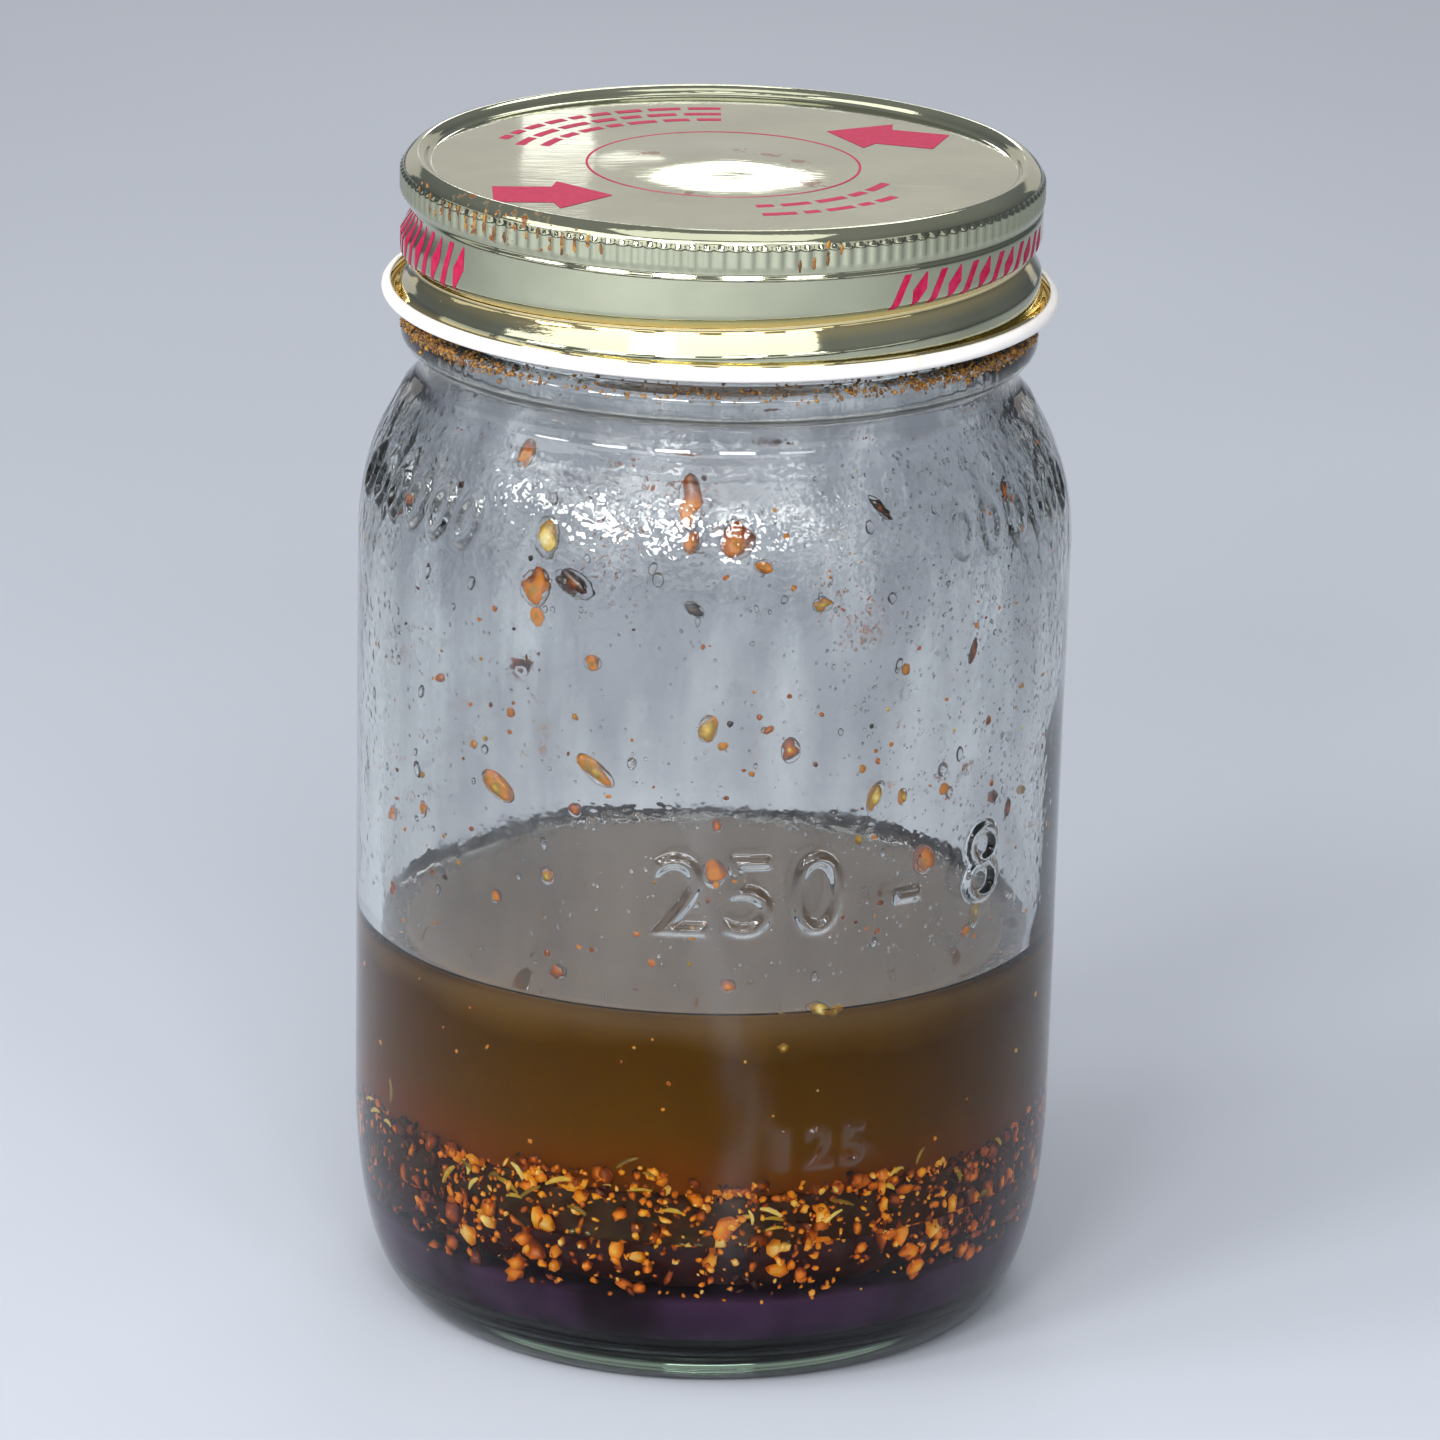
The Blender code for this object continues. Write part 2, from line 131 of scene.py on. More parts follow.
def awayFrom(angles, middle):
    # degrees from the middle, either way round
    return np.abs((angles - middle + 180) % 360 - 180)


def setAttribute(piece, name, values):
    attribute = piece.data.attributes.get(name) or piece.data.attributes.new(name, 'FLOAT', 'POINT')
    attribute.data.foreach_set("value", np.asarray(values, dtype=np.float32))


def ease(x):
    x = np.clip(x, 0, 1)
    return x * x * (3 - 2 * x)


def bend(a, b, c, steps):
    # a bend from a to c that leans to b
    return [tuple((1 - t) ** 2 * p + 2 * t * (1 - t) * q + t * t * r for p, q, r in zip(a, b, c))
            for t in np.linspace(0, 1, steps + 1)]


def run(a, b, steps):
    return [tuple(p + (q - p) * t for p, q in zip(a, b)) for t in np.linspace(0, 1, steps + 1)]


def through(corners, steps):
    # a smooth line through every corner
    line = []
    for i in range(len(corners) - 1):
        p = [np.array(corners[min(max(j, 0), len(corners) - 1)]) for j in (i - 1, i, i + 1, i + 2)]
        for t in np.linspace(0, 1, steps + 1)[:-1]:
            line.append(tuple(0.5 * (2 * p[1] + (p[2] - p[0]) * t
                                     + (2 * p[0] - 5 * p[1] + 4 * p[2] - p[3]) * t ** 2
                                     + (3 * p[1] - p[0] - 3 * p[2] + p[3]) * t ** 3)))
    return line + [tuple(corners[-1])]


def joined(*lines):
    # one outline from several lines, without a point twice
    outline = []
    for line in lines:
        for point in line:
            if not outline or math.dist(outline[-1], point) > 1e-6:
                outline.append(tuple(point))
    return outline


def offset(outline, distance):
    # the outline moved to the left of its direction
    line = np.array(outline)
    along = np.gradient(line, axis=0)
    along /= np.linalg.norm(along, axis=1)[:, None]
    return [tuple(p) for p in line + distance * np.stack([-along[:, 1], along[:, 0]], axis=1)]


def turned(name, outline, columns):
    # a section in millimetres, closed, spun round the jar's axis
    deselectAll()
    bpy.ops.mesh.primitive_circle_add(vertices=len(outline), radius=0.05, fill_type='NOTHING')
    piece = bpy.context.object
    piece.name = name
    section = np.array([(r, 0, z) for r, z in outline]) * mm
    movePoints(piece, section)
    for edge in piece.data.edges:
        edge.select = all(section[v][0] < 1e-7 for v in edge.vertices)
    for vertex in piece.data.vertices:
        vertex.select = False
    bpy.ops.object.mode_set(mode='EDIT')
    bpy.ops.mesh.select_mode(type='EDGE')
    bpy.ops.mesh.delete(type='EDGE')
    bpy.ops.mesh.select_mode(type='VERT')
    bpy.ops.mesh.select_all(action='SELECT')
    bpy.ops.mesh.spin(steps=columns, angle=math.tau, center=(0, 0, 0), axis=(0, 0, 1))
    bpy.ops.mesh.select_all(action='SELECT')
    bpy.ops.mesh.remove_doubles(threshold=2e-6)
    bpy.ops.mesh.normals_make_consistent(inside=False)
    bpy.ops.object.mode_set(mode='OBJECT')
    bpy.ops.object.shade_smooth()
    return piece


def rowsOf(piece, outline):
    # for each point, the number of the outline's point that it was spun from
    where = pointsOf(piece)
    flat = np.stack([np.hypot(where[:, 0], where[:, 1]), where[:, 2]], axis=1)
    section = np.array(outline) * mm
    gaps = (flat[:, None, 0] - section[None, :, 0]) ** 2 + (flat[:, None, 1] - section[None, :, 1]) ** 2
    return np.argmin(gaps, axis=1)


def finishPiece(piece, name, materials, body, replaced=()):
    piece.name = name
    piece.data.name = name
    for material in materials:
        piece.data.materials.append(material)
    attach(piece, body)
    if replaced:
        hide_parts(*replaced)
    print("made", name, len(piece.data.polygons), "faces")


glass = {
    "columns": 144,
    "floor": 3.6,
    "shoulderTop": (36.8, 102.9),
    "bead": [(33.3, 115.2), (34.9, 114.7), (35.5, 113.85), (35.5, 112.35), (34.9, 111.4), (33.5, 110.9)],
    "innerTurn": (33.6, 103.4),
    "wallZone": (24, 106),       # heights between which the outside bears relief and dips
    "insideZone": (22, 106),     # and the inside dips
    "threadZone": (115.6, 129.6),
    "pitch": 6.35,
    "threadStart": 180,          # angle at which the lid's groove is lowest
    "ridgeHeight": 122.1,
    "ridgeTurns": (-0.78, 0.80, 0.16),    # first turn, last turn, and how long it fades
    "ridgeRise": 1.4,
    "figureRadius": 39.9,
    "reliefSink": 0.4,
    "uneven": (0.02, 0.09),      # dips in the outside, and how much more at the shoulder
    "unevenInside": (0.03, 0.07),
}

innerHeel = ((29.5, glass["floor"] + 0.1), (36.6, glass["floor"] + 0.6), (36.9, 20))
outerWall = joined(
    bend((32.3, 0), (38.9, 1.4), (39.7, 22), 30),
    run((39.7, 22), (40.1, 90), 48),
    bend((40.1, 90), (39.9, 97.6), glass["shoulderTop"], 16),
    bend(glass["shoulderTop"], (35.0, 105.8), (33.5, 107.7), 8),
    [(33.3, 109.3)])
innerWall = joined(
    bend(*innerHeel, 22),
    run((36.9, 20), (37.041, 44.3), 16),
    run((37.041, 44.3), (37.046, 45.1), 1),
    run((37.046, 45.1), (37.3, 89), 30),
    bend((37.3, 89), (37.1, 97.5), glass["innerTurn"], 16),
    bend(glass["innerTurn"], (30.8, 107.2), (30.6, 112), 10))
outerFine = np.array(joined(
    bend((32.3, 0), (38.9, 1.4), (39.7, 22), 300),
    bend((40.1, 90), (39.9, 97.6), glass["shoulderTop"], 300),
    [(33.3, 109.3)])) * mm
innerFine = np.array(joined(
    bend(*innerHeel, 300),
    bend((37.3, 89), (37.1, 97.5), glass["innerTurn"], 300),
    bend(glass["innerTurn"], (30.8, 107.2), (30.6, 112), 200),
    [(30.6, 130)])) * mm


def outerAt(height):
    return np.interp(height, outerFine[:, 1], outerFine[:, 0])


def innerAt(height):
    return np.interp(height, innerFine[:, 1], innerFine[:, 0])


def turnOf(angles):
    # share of a turn since the place where the lid's groove is lowest
    return ((angles - glass["threadStart"]) / 360) % 1


def threadRidge(angles, heights):
    first, last, fade = glass["ridgeTurns"]
    rise = np.zeros_like(heights)
    for lap in (-1, 0, 1):
        along = turnOf(angles) + lap
        height = ease(np.minimum(along - first, last - along) / fade)
        across = np.abs(heights / mm - glass["ridgeHeight"] - glass["pitch"] * along)
        rise = np.maximum(rise, height * ease((1.5 - across) / 1.0))
    return rise * glass["ridgeRise"] * mm


def ripple(angles, heights, seed, length):
    # soft unevenness of pressed glass, about -1 to 1
    random = np.random.default_rng(seed)
    total = np.zeros_like(heights)
    turn = np.radians(angles)
    for _ in range(9):
        waves = int(random.integers(2, int(250 / length)))
        tall = random.uniform(-1, 1) * math.tau / (length * mm)
        total += np.sin(waves * turn + tall * heights + random.uniform(0, math.tau))
    return total / 4


def textEdges(words, capHeight, spacing):
    # outline of some figures as line pieces in millimetres, with its middle at the origin
    deselectAll()
    bpy.ops.object.text_add()
    sign = bpy.context.object
    sign.data.body = words
    sign.data.align_x = 'CENTER'
    sign.data.space_character = spacing
    sign.data.resolution_u = 6
    bpy.ops.object.convert(target='MESH')
    sign = bpy.context.object
    used = {}
    for face in sign.data.polygons:
        for key in face.edge_keys:
            used[key] = used.get(key, 0) + 1
    corners = pointsOf(sign)[:, :2]
    tall = corners[:, 1].max() - corners[:, 1].min()
    corners = (corners - [0, (corners[:, 1].max() + corners[:, 1].min()) / 2]) * capHeight / tall
    corners[:, 0] -= (corners[:, 0].max() + corners[:, 0].min()) / 2
    bpy.data.objects.remove(sign)
    return np.array([corners[list(key)] for key, count in used.items() if count == 1])


def depthInside(spots, edges):
    # distance to the outline, positive inside it
    a, b = edges[:, 0], edges[:, 1]
    span = b - a
    result = np.empty(len(spots))
    for start in range(0, len(spots), 4000):
        p = spots[start:start + 4000, None]
        share = np.clip(((p - a) * span).sum(axis=2) / (span ** 2).sum(axis=1), 0, 1)
        gap = np.linalg.norm(p - a - share[..., None] * span, axis=2).min(axis=1)
        crosses = (a[:, 1] > p[..., 1]) != (b[:, 1] > p[..., 1])
        level = np.where(span[:, 1] == 0, 1, span[:, 1])
        reach = a[:, 0] + (p[..., 1] - a[:, 1]) / level * span[:, 0]
        inside = (crosses & (p[..., 0] < reach)).sum(axis=1) % 2 == 1
        result[start:start + 4000] = np.where(inside, gap, -gap)
    return result


# plain figures for a measuring mark; only the large ones lie in the zone that is drawn in
figures = [
    {"words": "250 - 8", "cap": 9.2, "angle": 293, "height": 59.4, "spacing": 1.16, "fatter": 0.34,
     "rise": 0.58, "edge": 0.8, "large": True},
    {"words": "125", "cap": 4.6, "angle": 290, "height": 29.8, "spacing": 1.25, "fatter": 0.25,
     "rise": 0.35, "edge": 0.45, "large": False},
]
ovals = {
    "rows": [(193, 226, 6, 0.5), (314, 349, 6, 0.3)],    # first angle, last angle, how many, rise
    "height": 98.2,
    "half": (1.8, 3.3),
    "slant": 0.12,
    "radius": 38.5,
}


def refine(piece, chosen, cuts):
    # cuts up some faces, where fine relief comes
    choose(piece)
    count = len(piece.data.polygons)
    centres = np.empty(count * 3)
    piece.data.polygons.foreach_get("center", centres)
    picked = chosen(*polar(centres.reshape(-1, 3)))
    bpy.ops.object.mode_set(mode='EDIT')
    bpy.ops.mesh.select_mode(type='FACE')
    bpy.ops.mesh.select_all(action='DESELECT')
    bpy.ops.object.mode_set(mode='OBJECT')
    piece.data.polygons.foreach_set("select", picked)
    bpy.ops.object.mode_set(mode='EDIT')
    bpy.ops.mesh.subdivide(number_cuts=cuts)
    bpy.ops.mesh.select_mode(type='VERT')
    bpy.ops.object.mode_set(mode='OBJECT')


def jarOutline():
    outside = joined(
        run((0, 1.2), (27, 0.9), 12),
        through([(27, 0.9), (28.2, 0.3), (29.1, 0)], 3),
        run((29.1, 0), (32.3, 0), 3),
        outerWall,
        through([(33.3, 109.3), (33.25, 110.2)] + glass["bead"][::-1] + [(33.3, 115.6)], 3),
        run((33.3, 115.6), (33.3, 129.4), 36),
        bend((33.3, 129.4), (33.25, 130.25), (32.4, 130.3), 4))
    inside = joined(
        bend((31.5, 130.3), (30.65, 130.25), (30.6, 129.4), 4),
        run((30.6, 129.4), (30.6, 112), 12),
        innerWall[::-1],
        run(innerHeel[0], (20, glass["floor"]), 5),
        run((20, glass["floor"]), (0, glass["floor"] + 0.5), 8))
    return joined(outside, inside)


def refineRelief(jar):
    # finer faces under the figures and the ovals
    for figure in figures:
        figure["edges"] = textEdges(figure["words"], figure["cap"], figure["spacing"])
        half = math.degrees((figure["edges"][..., 0].max() + 1.2) / glass["figureRadius"])
        tall = figure["cap"] / 2 + 1.2

        def near(angles, radii, heights):
            return ((np.abs(angles - figure["angle"]) < half) & (radii > 38.6 * mm)
                    & (np.abs(heights / mm - figure["height"]) < tall))
        refine(jar, near, 5)
    for first, last, *_ in ovals["rows"]:
        def near(angles, radii, heights):
            return ((angles > first - 5) & (angles < last + 5) & (heights > 92 * mm)
                    & (heights < 104.2 * mm) & (radii > innerAt(heights) + 1.3 * mm))
        refine(jar, near, 4)


def raiseFigures(angles, radii, heights, wall):
    # raised figures, in a zone that is drawn in by a hair so that they stay inside the jar's width
    small = np.zeros_like(radii)
    for figure in figures:
        along = np.radians(angles - figure["angle"]) * glass["figureRadius"]
        spots = np.stack([along, heights / mm - figure["height"]], axis=1)
        zone = wall & (np.abs(spots[:, 1]) < 20) & (np.abs(spots[:, 0]) < 60)
        soft = ease((18 - np.abs(spots[:, 1])) / 8) * ease((50 - np.abs(spots[:, 0])) / 16)
        radii = radii - np.where(zone, soft * glass["reliefSink"] * mm, 0) * figure["large"]
        close = zone & (np.abs(spots[:, 1]) < figure["cap"] / 2 + 1)
        depth = np.full(len(spots), -9.0)
        depth[close] = depthInside(spots[close], figure["edges"])
        radii = radii + ease((depth + figure["fatter"]) / figure["edge"]) * figure["rise"] * mm
        if not figure["large"]:
            small = np.maximum(small, ease((depth + 0.7) / 0.5))
    return radii, small


def raiseOvals(angles, radii, heights, wall):
    for first, last, count, rise in ovals["rows"]:
        for angle in np.linspace(first, last, count):
            along = heights / mm - ovals["height"]
            across = np.radians(angles - angle) * ovals["radius"] - ovals["slant"] * along
            level = np.hypot(across / ovals["half"][0], along / ovals["half"][1])
            ridge = ease(1 - np.abs(level - 0.72) / 0.42)
            radii = radii + np.where(wall & (level < 1.3), ridge * rise * mm, 0)
    return radii


def coatJar(jar, angles, level, outer, above, small):
    # oil inside above the dressing, thicker upwards, and a little grease from hands outside
    inside = ease((level - 45.5) / 6) * ease((118 - level) / 10) * (0.65 + 1.05 * ease((level - 64) / 32))
    setAttribute(jar, "film", np.where(outer, 0.04 + 0.15 * above + 1.1 * (level < 1.5), inside))
    # waves in the outside at the shoulder, and in the oil at the front and on the right
    calm = 0.12 + 0.3 * ease((110 - awayFrom(angles, 290)) / 60) * ease((level - 84) / 14)
    setAttribute(jar, "wave", np.where(outer, 1.15 * above, ease((level - 52) / 12) * calm))
    # where the glass meets the dressing there is almost no reflection
    deep = np.maximum(0.18 + 0.82 * ease((level - 42) / 5), small)
    setAttribute(jar, "dry", np.where(outer, deep, level >= 44.9))
    # a greasy finger's trail down the front
    middle = np.interp(level, (17, 27, 33, 44, 59, 88), (275.2, 275.7, 278.2, 274.3, 269.1, 266.7))
    trail = np.exp(-((angles - middle) / 2.6) ** 2) * ease((level - 12) / 8) * ease((92 - level) / 12)
    setAttribute(jar, "trail", np.where(outer, trail, 0))


def makeJar():
    jar = turned("glass_jar", jarOutline(), glass["columns"])
    refineRelief(jar)
    angles, radii, heights = polar(pointsOf(jar))
    outer = (radii > innerAt(heights) + 1.2 * mm) | (heights < 3 * mm)
    low, high = glass["wallZone"]
    wall = outer & (heights > low * mm) & (heights < high * mm)
    radii = np.where(wall, outerAt(heights), radii)
    low, high = glass["threadZone"]
    finish = outer & (heights > low * mm) & (heights < high * mm)
    radii = radii + np.where(finish, threadRidge(angles, heights), 0)
    radii, small = raiseFigures(angles, radii, heights, wall)
    radii = raiseOvals(angles, radii, heights, wall)

    # pressed glass is never quite even, most of all at the shoulder
    level = heights / mm
    above = ease((level - 84) / 10) * ease((108 - level) / 5)
    low, high = glass["insideZone"]
    within = (~outer) & (heights > low * mm) & (heights < high * mm)
    for zone, seed, length, (least, more) in ((wall, 3, 8, glass["uneven"]),
                                              (within, 8, 11, glass["unevenInside"])):
        dips = np.clip(0.5 + 0.5 * ripple(angles, heights, seed, length), 0, 1) * (least + more * above)
        radii = radii - np.where(zone, dips * mm, 0)
    reshape(jar, angles, radii, heights)
    coatJar(jar, angles, level, outer, above, small)
    return jar


def makeFlintGlass():
    # soda-lime flint glass, pressed and blown: clear with a green edge,
    # wet with oil inside above the dressing
    material = newMaterial("flintGlassWithOilFilm")
    place = addNode(material, "TexCoord").outputs["Object"]
    film = addNode(material, "Attribute", {"attribute_name": "film"}).outputs["Fac"]
    # smears of oil that ran down, about 6 mm wide and four times as tall
    runs = addNode(material, "Mapping", {"Scale": (1, 1, 0.25)}, {"Vector": place})
    smear = addNode(material, "TexNoise", {"Scale": 160, "Detail": 4}, {"Vector": runs.outputs[0]})
    patchy = addNode(material, "MapRange", {"From Min": 0.32, "From Max": 0.66}, {"Value": smear.outputs[0]})
    wet = addNode(material, "Math", {"operation": 'MULTIPLY', "use_clamp": True},
                  {0: patchy.outputs[0], 1: film})
    rough = addNode(material, "Math", {"operation": 'MULTIPLY_ADD', 1: 0.15, 2: 0.015}, {0: wet.outputs[0]})
    # thick oil is a little grey, and the grey goes further as painted shade for the darker surroundings seen
    # through
    greyedAndShaded = addNode(material, "Mix", {"data_type": 'RGBA', 6: linear("#FFFFFF"), 7: linear("#BCBEC3")},
                     {0: wet.outputs[0]})
    # it lies in waves 4 mm long and in beads too small to be modelled, 0.4 mm and up
    beads = addNode(material, "TexVoronoi", {"Scale": 650, "feature": 'SMOOTH_F1'}, {"Vector": place})
    bead = addNode(material, "MapRange", {"From Min": 0.35, "From Max": 0.0},
                   {"Value": beads.outputs["Distance"]})
    wave = addNode(material, "Attribute", {"attribute_name": "wave"}).outputs["Fac"]
    swell = addNode(material, "TexNoise", {"Scale": 240, "Detail": 3, "Roughness": 0.55}, {"Vector": place})
    waves = addNode(material, "Math", {"operation": 'MULTIPLY'}, {0: swell.outputs[0], 1: wave})
    dots = addNode(material, "Math", {"operation": 'MULTIPLY'}, {0: bead.outputs[0], 1: film})
    height = addNode(material, "Math", {"operation": 'MULTIPLY_ADD', 1: 0.045},
                     {0: dots.outputs[0], 2: waves.outputs[0]})
    bump = addNode(material, "Bump", {"Strength": 0.5, "Distance": 0.001}, {"Height": height.outputs[0]})
    dry = addNode(material, "Attribute", {"attribute_name": "dry"}).outputs["Fac"]
    trail = addNode(material, "Attribute", {"attribute_name": "trail"}).outputs["Fac"]
    streaks = addNode(material, "MapRange", {"From Min": 0.25, "From Max": 0.5},
                      {"Value": smear.outputs[0]})
    grease = addNode(material, "Math", {"operation": 'MULTIPLY'}, {0: trail, 1: streaks.outputs[0]})
    setShader(material, {"Transmission Weight": 1.0, "IOR": 1.52, "Coat Roughness": 0.38},
              {"Base Color": greyedAndShaded.outputs[2], "Roughness": rough.outputs[0], "Normal": bump.outputs[0],
               "Specular Tint": dry, "Coat Weight": grease.outputs[0]})
    absorbLight(material, "#D3DED6", 62)
    return material


finishPiece(makeJar(), "glass_jar", [makeFlintGlass()], "jar", ["jar_glass"])


lid = {
    "columns": 576,
    "sheet": 0.25,
    "panel": 131.6,
    "dome": (14.2, 0.75),        # the safety button: radius and rise
    "crown": [(32.4, 131.6), (32.75, 131.78), (33.1, 132.3), (33.75, 132.66), (34.3, 132.55),
              (35.1, 131.9), (35.43, 131.4)],
    "knurlRows": (131.1, 128.5),
    "knurlRadii": (35.42, 35.8),
    "flutes": 144,
    "skirt": 35.65,
    "skirtFoot": 117.9,
    "skirtTop": 128.2,
    "skirtRadii": (35.2, 35.9),    # between which the outer face of the skirt lies
    "grooveHeight": 120.1,
    "grooveDepth": 1.45,
    "grooveUp": 1.75,
    "grooveDown": 2.7,
    "grooveFade": 0.12,
    "curl": (36.9, 117.44),
    "curlRadius": 0.55,
    "sag": 0.018,
    "soil": (226, 26),           # middle angle of the residue on the rim, and its reach
    "marks": [(1.8, 4.3, 1.6), (5.2, 2.8, 2.0), (8.5, 1.2, 1.6), (9.8, -7.9, 2.2), (-8.2, 3.3, 1.6),
              (-3.6, -13.8, 1.0)],    # brown marks on the button: x, y, reach
    "markStrength": 1.9,
}


def groove(angles, heights):
    # how far the rolled thread pushes the skirt in, 0 to 1
    depth = np.zeros_like(heights)
    for lap in (-1, 0, 1):
        along = turnOf(angles) + lap
        fade = ease((along + lid["grooveFade"]) / lid["grooveFade"])
        fade = fade * ease((1 + lid["grooveFade"] - along) / lid["grooveFade"])
        off = heights / mm - lid["grooveHeight"] - glass["pitch"] * along
        upper = np.cos(np.clip(off / lid["grooveUp"], 0, 1) * math.pi / 2) ** 2
        # the lower side is longer and straighter, and catches the light from the front
        fall = np.clip(-off / lid["grooveDown"], 0, 1)
        lower = 1 - np.where(fall < 0.2, fall ** 2 * 2.5, fall - 0.1) / 0.9
        depth = np.maximum(depth, fade * np.where(off > 0, upper, np.maximum(lower, 0)))
    return depth * ease((heights / mm - lid["skirtFoot"]) / 1.2)


def knurl(angles, heights):
    # height of the flutes over their roots, 0 to 1
    top, bottom = lid["knurlRows"]
    band = ease((top + 0.15 - heights / mm) / 0.35) * ease((heights / mm - bottom + 0.15) / 0.35)
    flute = (0.5 + 0.5 * np.cos(np.radians(angles) * lid["flutes"])) ** 0.8
    return band * flute


def skirtRadius(angles, heights):
    return (lid["skirt"] - lid["grooveDepth"] * groove(angles, heights)) * mm


def lidOutline():
    reach, rise = lid["dome"]
    dome = [(reach * s, lid["panel"] + rise * (1 - float(ease(s)))) for s in np.linspace(0, 1, 11)]
    root = lid["knurlRadii"][0]
    top, bottom = lid["knurlRows"]
    angles = np.radians(np.linspace(200, 470, 13))
    reel = lid["curlRadius"]
    curl = [(lid["curl"][0] + reel * math.cos(a), lid["curl"][1] + reel * math.sin(a)) for a in angles]
    outer = joined(
        dome,
        run((reach, lid["panel"]), (32.2, lid["panel"]), 5),
        through(lid["crown"], 3),
        run((root, top + 0.1), (root, bottom - 0.1), 9),
        through([(35.43, 128.15), (35.45, 127.95), (35.62, 127.6), (35.65, 127.3)], 2),
        run((35.65, 127.3), (35.65, 118.1), 34),
        bend((35.65, 118.1), (35.85, 117.65), (36.15, 117.45), 3),
        curl)
    inner = offset(outer, -lid["sheet"])
    inner[0] = (0, outer[0][1] - lid["sheet"])
    # the inner face needs fewer rows, but all of them in the curl
    thin = [p for i, p in enumerate(inner) if i == 0 or i >= len(inner) - 16 or i % 3 == 0]
    return outer, thin[::-1]


def makeLid():
    outer, inner = lidOutline()
    outline = outer + inner
    piece = turned("screw_lid", outline, lid["columns"])
    rows = rowsOf(piece, outline)
    angles, radii, heights = polar(pointsOf(piece))
    low, high = lid["knurlRadii"]
    radii = radii + (high - low) * mm * knurl(angles, heights)
    low, high = lid["skirtRadii"]
    skirt = (heights > lid["skirtFoot"] * mm) & (heights < lid["skirtTop"] * mm)
    skirt = skirt & (radii > low * mm) & (radii < high * mm)
    pushed = np.where(skirt, groove(angles, heights), 0)
    radii = radii - pushed * lid["grooveDepth"] * mm
    # a stamped panel is never quite flat
    sag = ripple(angles, radii * 3, 21, 60) * ease(radii / mm / 8) * ease((32 - radii / mm) / 4)
    heights = heights + np.where(radii < 32 * mm, sag * lid["sag"] * mm, 0)
    where = reshape(piece, angles, radii, heights)
    # where a golden reflection is painted: in the rolled groove and above the curl
    setAttribute(piece, "valley", np.maximum(pushed, ease((118.7 - heights / mm) / 0.8)))
    # residue gathers on the rim and in the knurl, mostly at the left of the front
    side = np.abs(angles - lid["soil"][0]) / lid["soil"][1]
    rim = ease((radii / mm - 32.6) / 0.6) * ease((heights / mm - 128) / 0.6)
    soil = rim * ease(1.2 - side)
    for x, y, reach in lid["marks"]:
        off = (where[:, 0] / mm - x) ** 2 + (where[:, 1] / mm - y) ** 2
        soil = np.maximum(soil, lid["markStrength"] * np.exp(-off / reach ** 2) * (radii < 20 * mm))
    setAttribute(piece, "soil", soil)
    # the enamelled face gets the second material
    inside = rows >= len(outer)
    for face in piece.data.polygons:
        face.material_index = int(all(inside[v] for v in face.vertices))
    return piece


def makeLacqueredTin():
    # tinplate under a clear lacquer, stamped and rolled: a grey-green sheen,
    # with a golden painted reflection in the rolled valleys and above the curl
    material = newMaterial("lacqueredTinplate")
    place = addNode(material, "TexCoord").outputs["Object"]
    valley = addNode(material, "Attribute", {"attribute_name": "valley"}).outputs["Fac"]
    soil = addNode(material, "Attribute", {"attribute_name": "soil"}).outputs["Fac"]
    cloud = addNode(material, "TexNoise", {"Scale": 90, "Detail": 5}, {"Vector": place})
    # the golden tone there is a painted reflection
    paintedGold = addNode(material, "MapRange", {"From Min": 0.4, "From Max": 0.95}, {"Value": valley})
    base = addNode(material, "ValToRGB", {"stops": [(0.3, "#ABAD92"), (0.7, "#BDBEA3")]},
                   {"Fac": cloud.outputs[0]})
    tone = addNode(material, "Mix", {"data_type": 'RGBA', 7: linear("#EAD8A0")},
                   {0: paintedGold.outputs[0], 6: base.outputs[0]})
    spots = addNode(material, "TexNoise", {"Scale": 800, "Detail": 5, "Roughness": 0.6}, {"Vector": place})
    reach = addNode(material, "Math", {"operation": 'MULTIPLY_ADD', 1: 0.2, 2: -0.76}, {0: soil})
    stain = addNode(material, "Math", {"operation": 'ADD'}, {0: spots.outputs[0], 1: reach.outputs[0]})
    dirt = addNode(material, "MapRange", {"From Min": 0.0, "From Max": 0.05}, {"Value": stain.outputs[0]})
    soiled = addNode(material, "Mix", {"data_type": 'RGBA', 7: linear("#6E4212")},
                     {0: dirt.outputs[0], 6: tone.outputs[2]})
    metal = addNode(material, "MapRange", {"To Min": 1.0, "To Max": 0.0}, {"Value": dirt.outputs[0]})
    # rolling lines run across the sheet, 0.4 mm apart
    lines = addNode(material, "Mapping", {"Scale": (0.05, 1, 1)}, {"Vector": place})
    brushed = addNode(material, "TexNoise", {"Scale": 2400, "Detail": 2}, {"Vector": lines.outputs[0]})
    rough = addNode(material, "MapRange", {"To Min": 0.045, "To Max": 0.09}, {"Value": brushed.outputs[0]})
    height = addNode(material, "Math", {"operation": 'MULTIPLY_ADD', 1: 0.3},
                     {0: brushed.outputs[0], 2: cloud.outputs[0]})
    bump = addNode(material, "Bump", {"Strength": 0.15, "Distance": 0.0002}, {"Height": height.outputs[0]})
    setShader(material, {"Coat Weight": 0.25, "Coat Roughness": 0.03},
              {"Base Color": soiled.outputs[2], "Metallic": metal.outputs[0], "Roughness": rough.outputs[0],
               "Normal": bump.outputs[0]})
    return material


def makeWhiteEnamel():
    # baked white enamel of the lid's inside, which the curl turns outwards:
    # smooth and warm white, with a few stained specks
    material = newMaterial("bakedWhiteEnamel")
    place = addNode(material, "TexCoord").outputs["Object"]
    cloud = addNode(material, "TexNoise", {"Scale": 300, "Detail": 6}, {"Vector": place})
    tone = addNode(material, "ValToRGB", {"stops": [(0.3, "#FCF8F5"), (0.66, "#FAF5F0"), (0.8, "#E8D4B4")]},
                   {"Fac": cloud.outputs[0]})
    bump = addNode(material, "Bump", {"Strength": 0.1, "Distance": 0.0001}, {"Height": cloud.outputs[0]})
    setShader(material, {"Roughness": 0.3, "IOR": 1.5},
              {"Base Color": tone.outputs[0], "Normal": bump.outputs[0]})
    return material


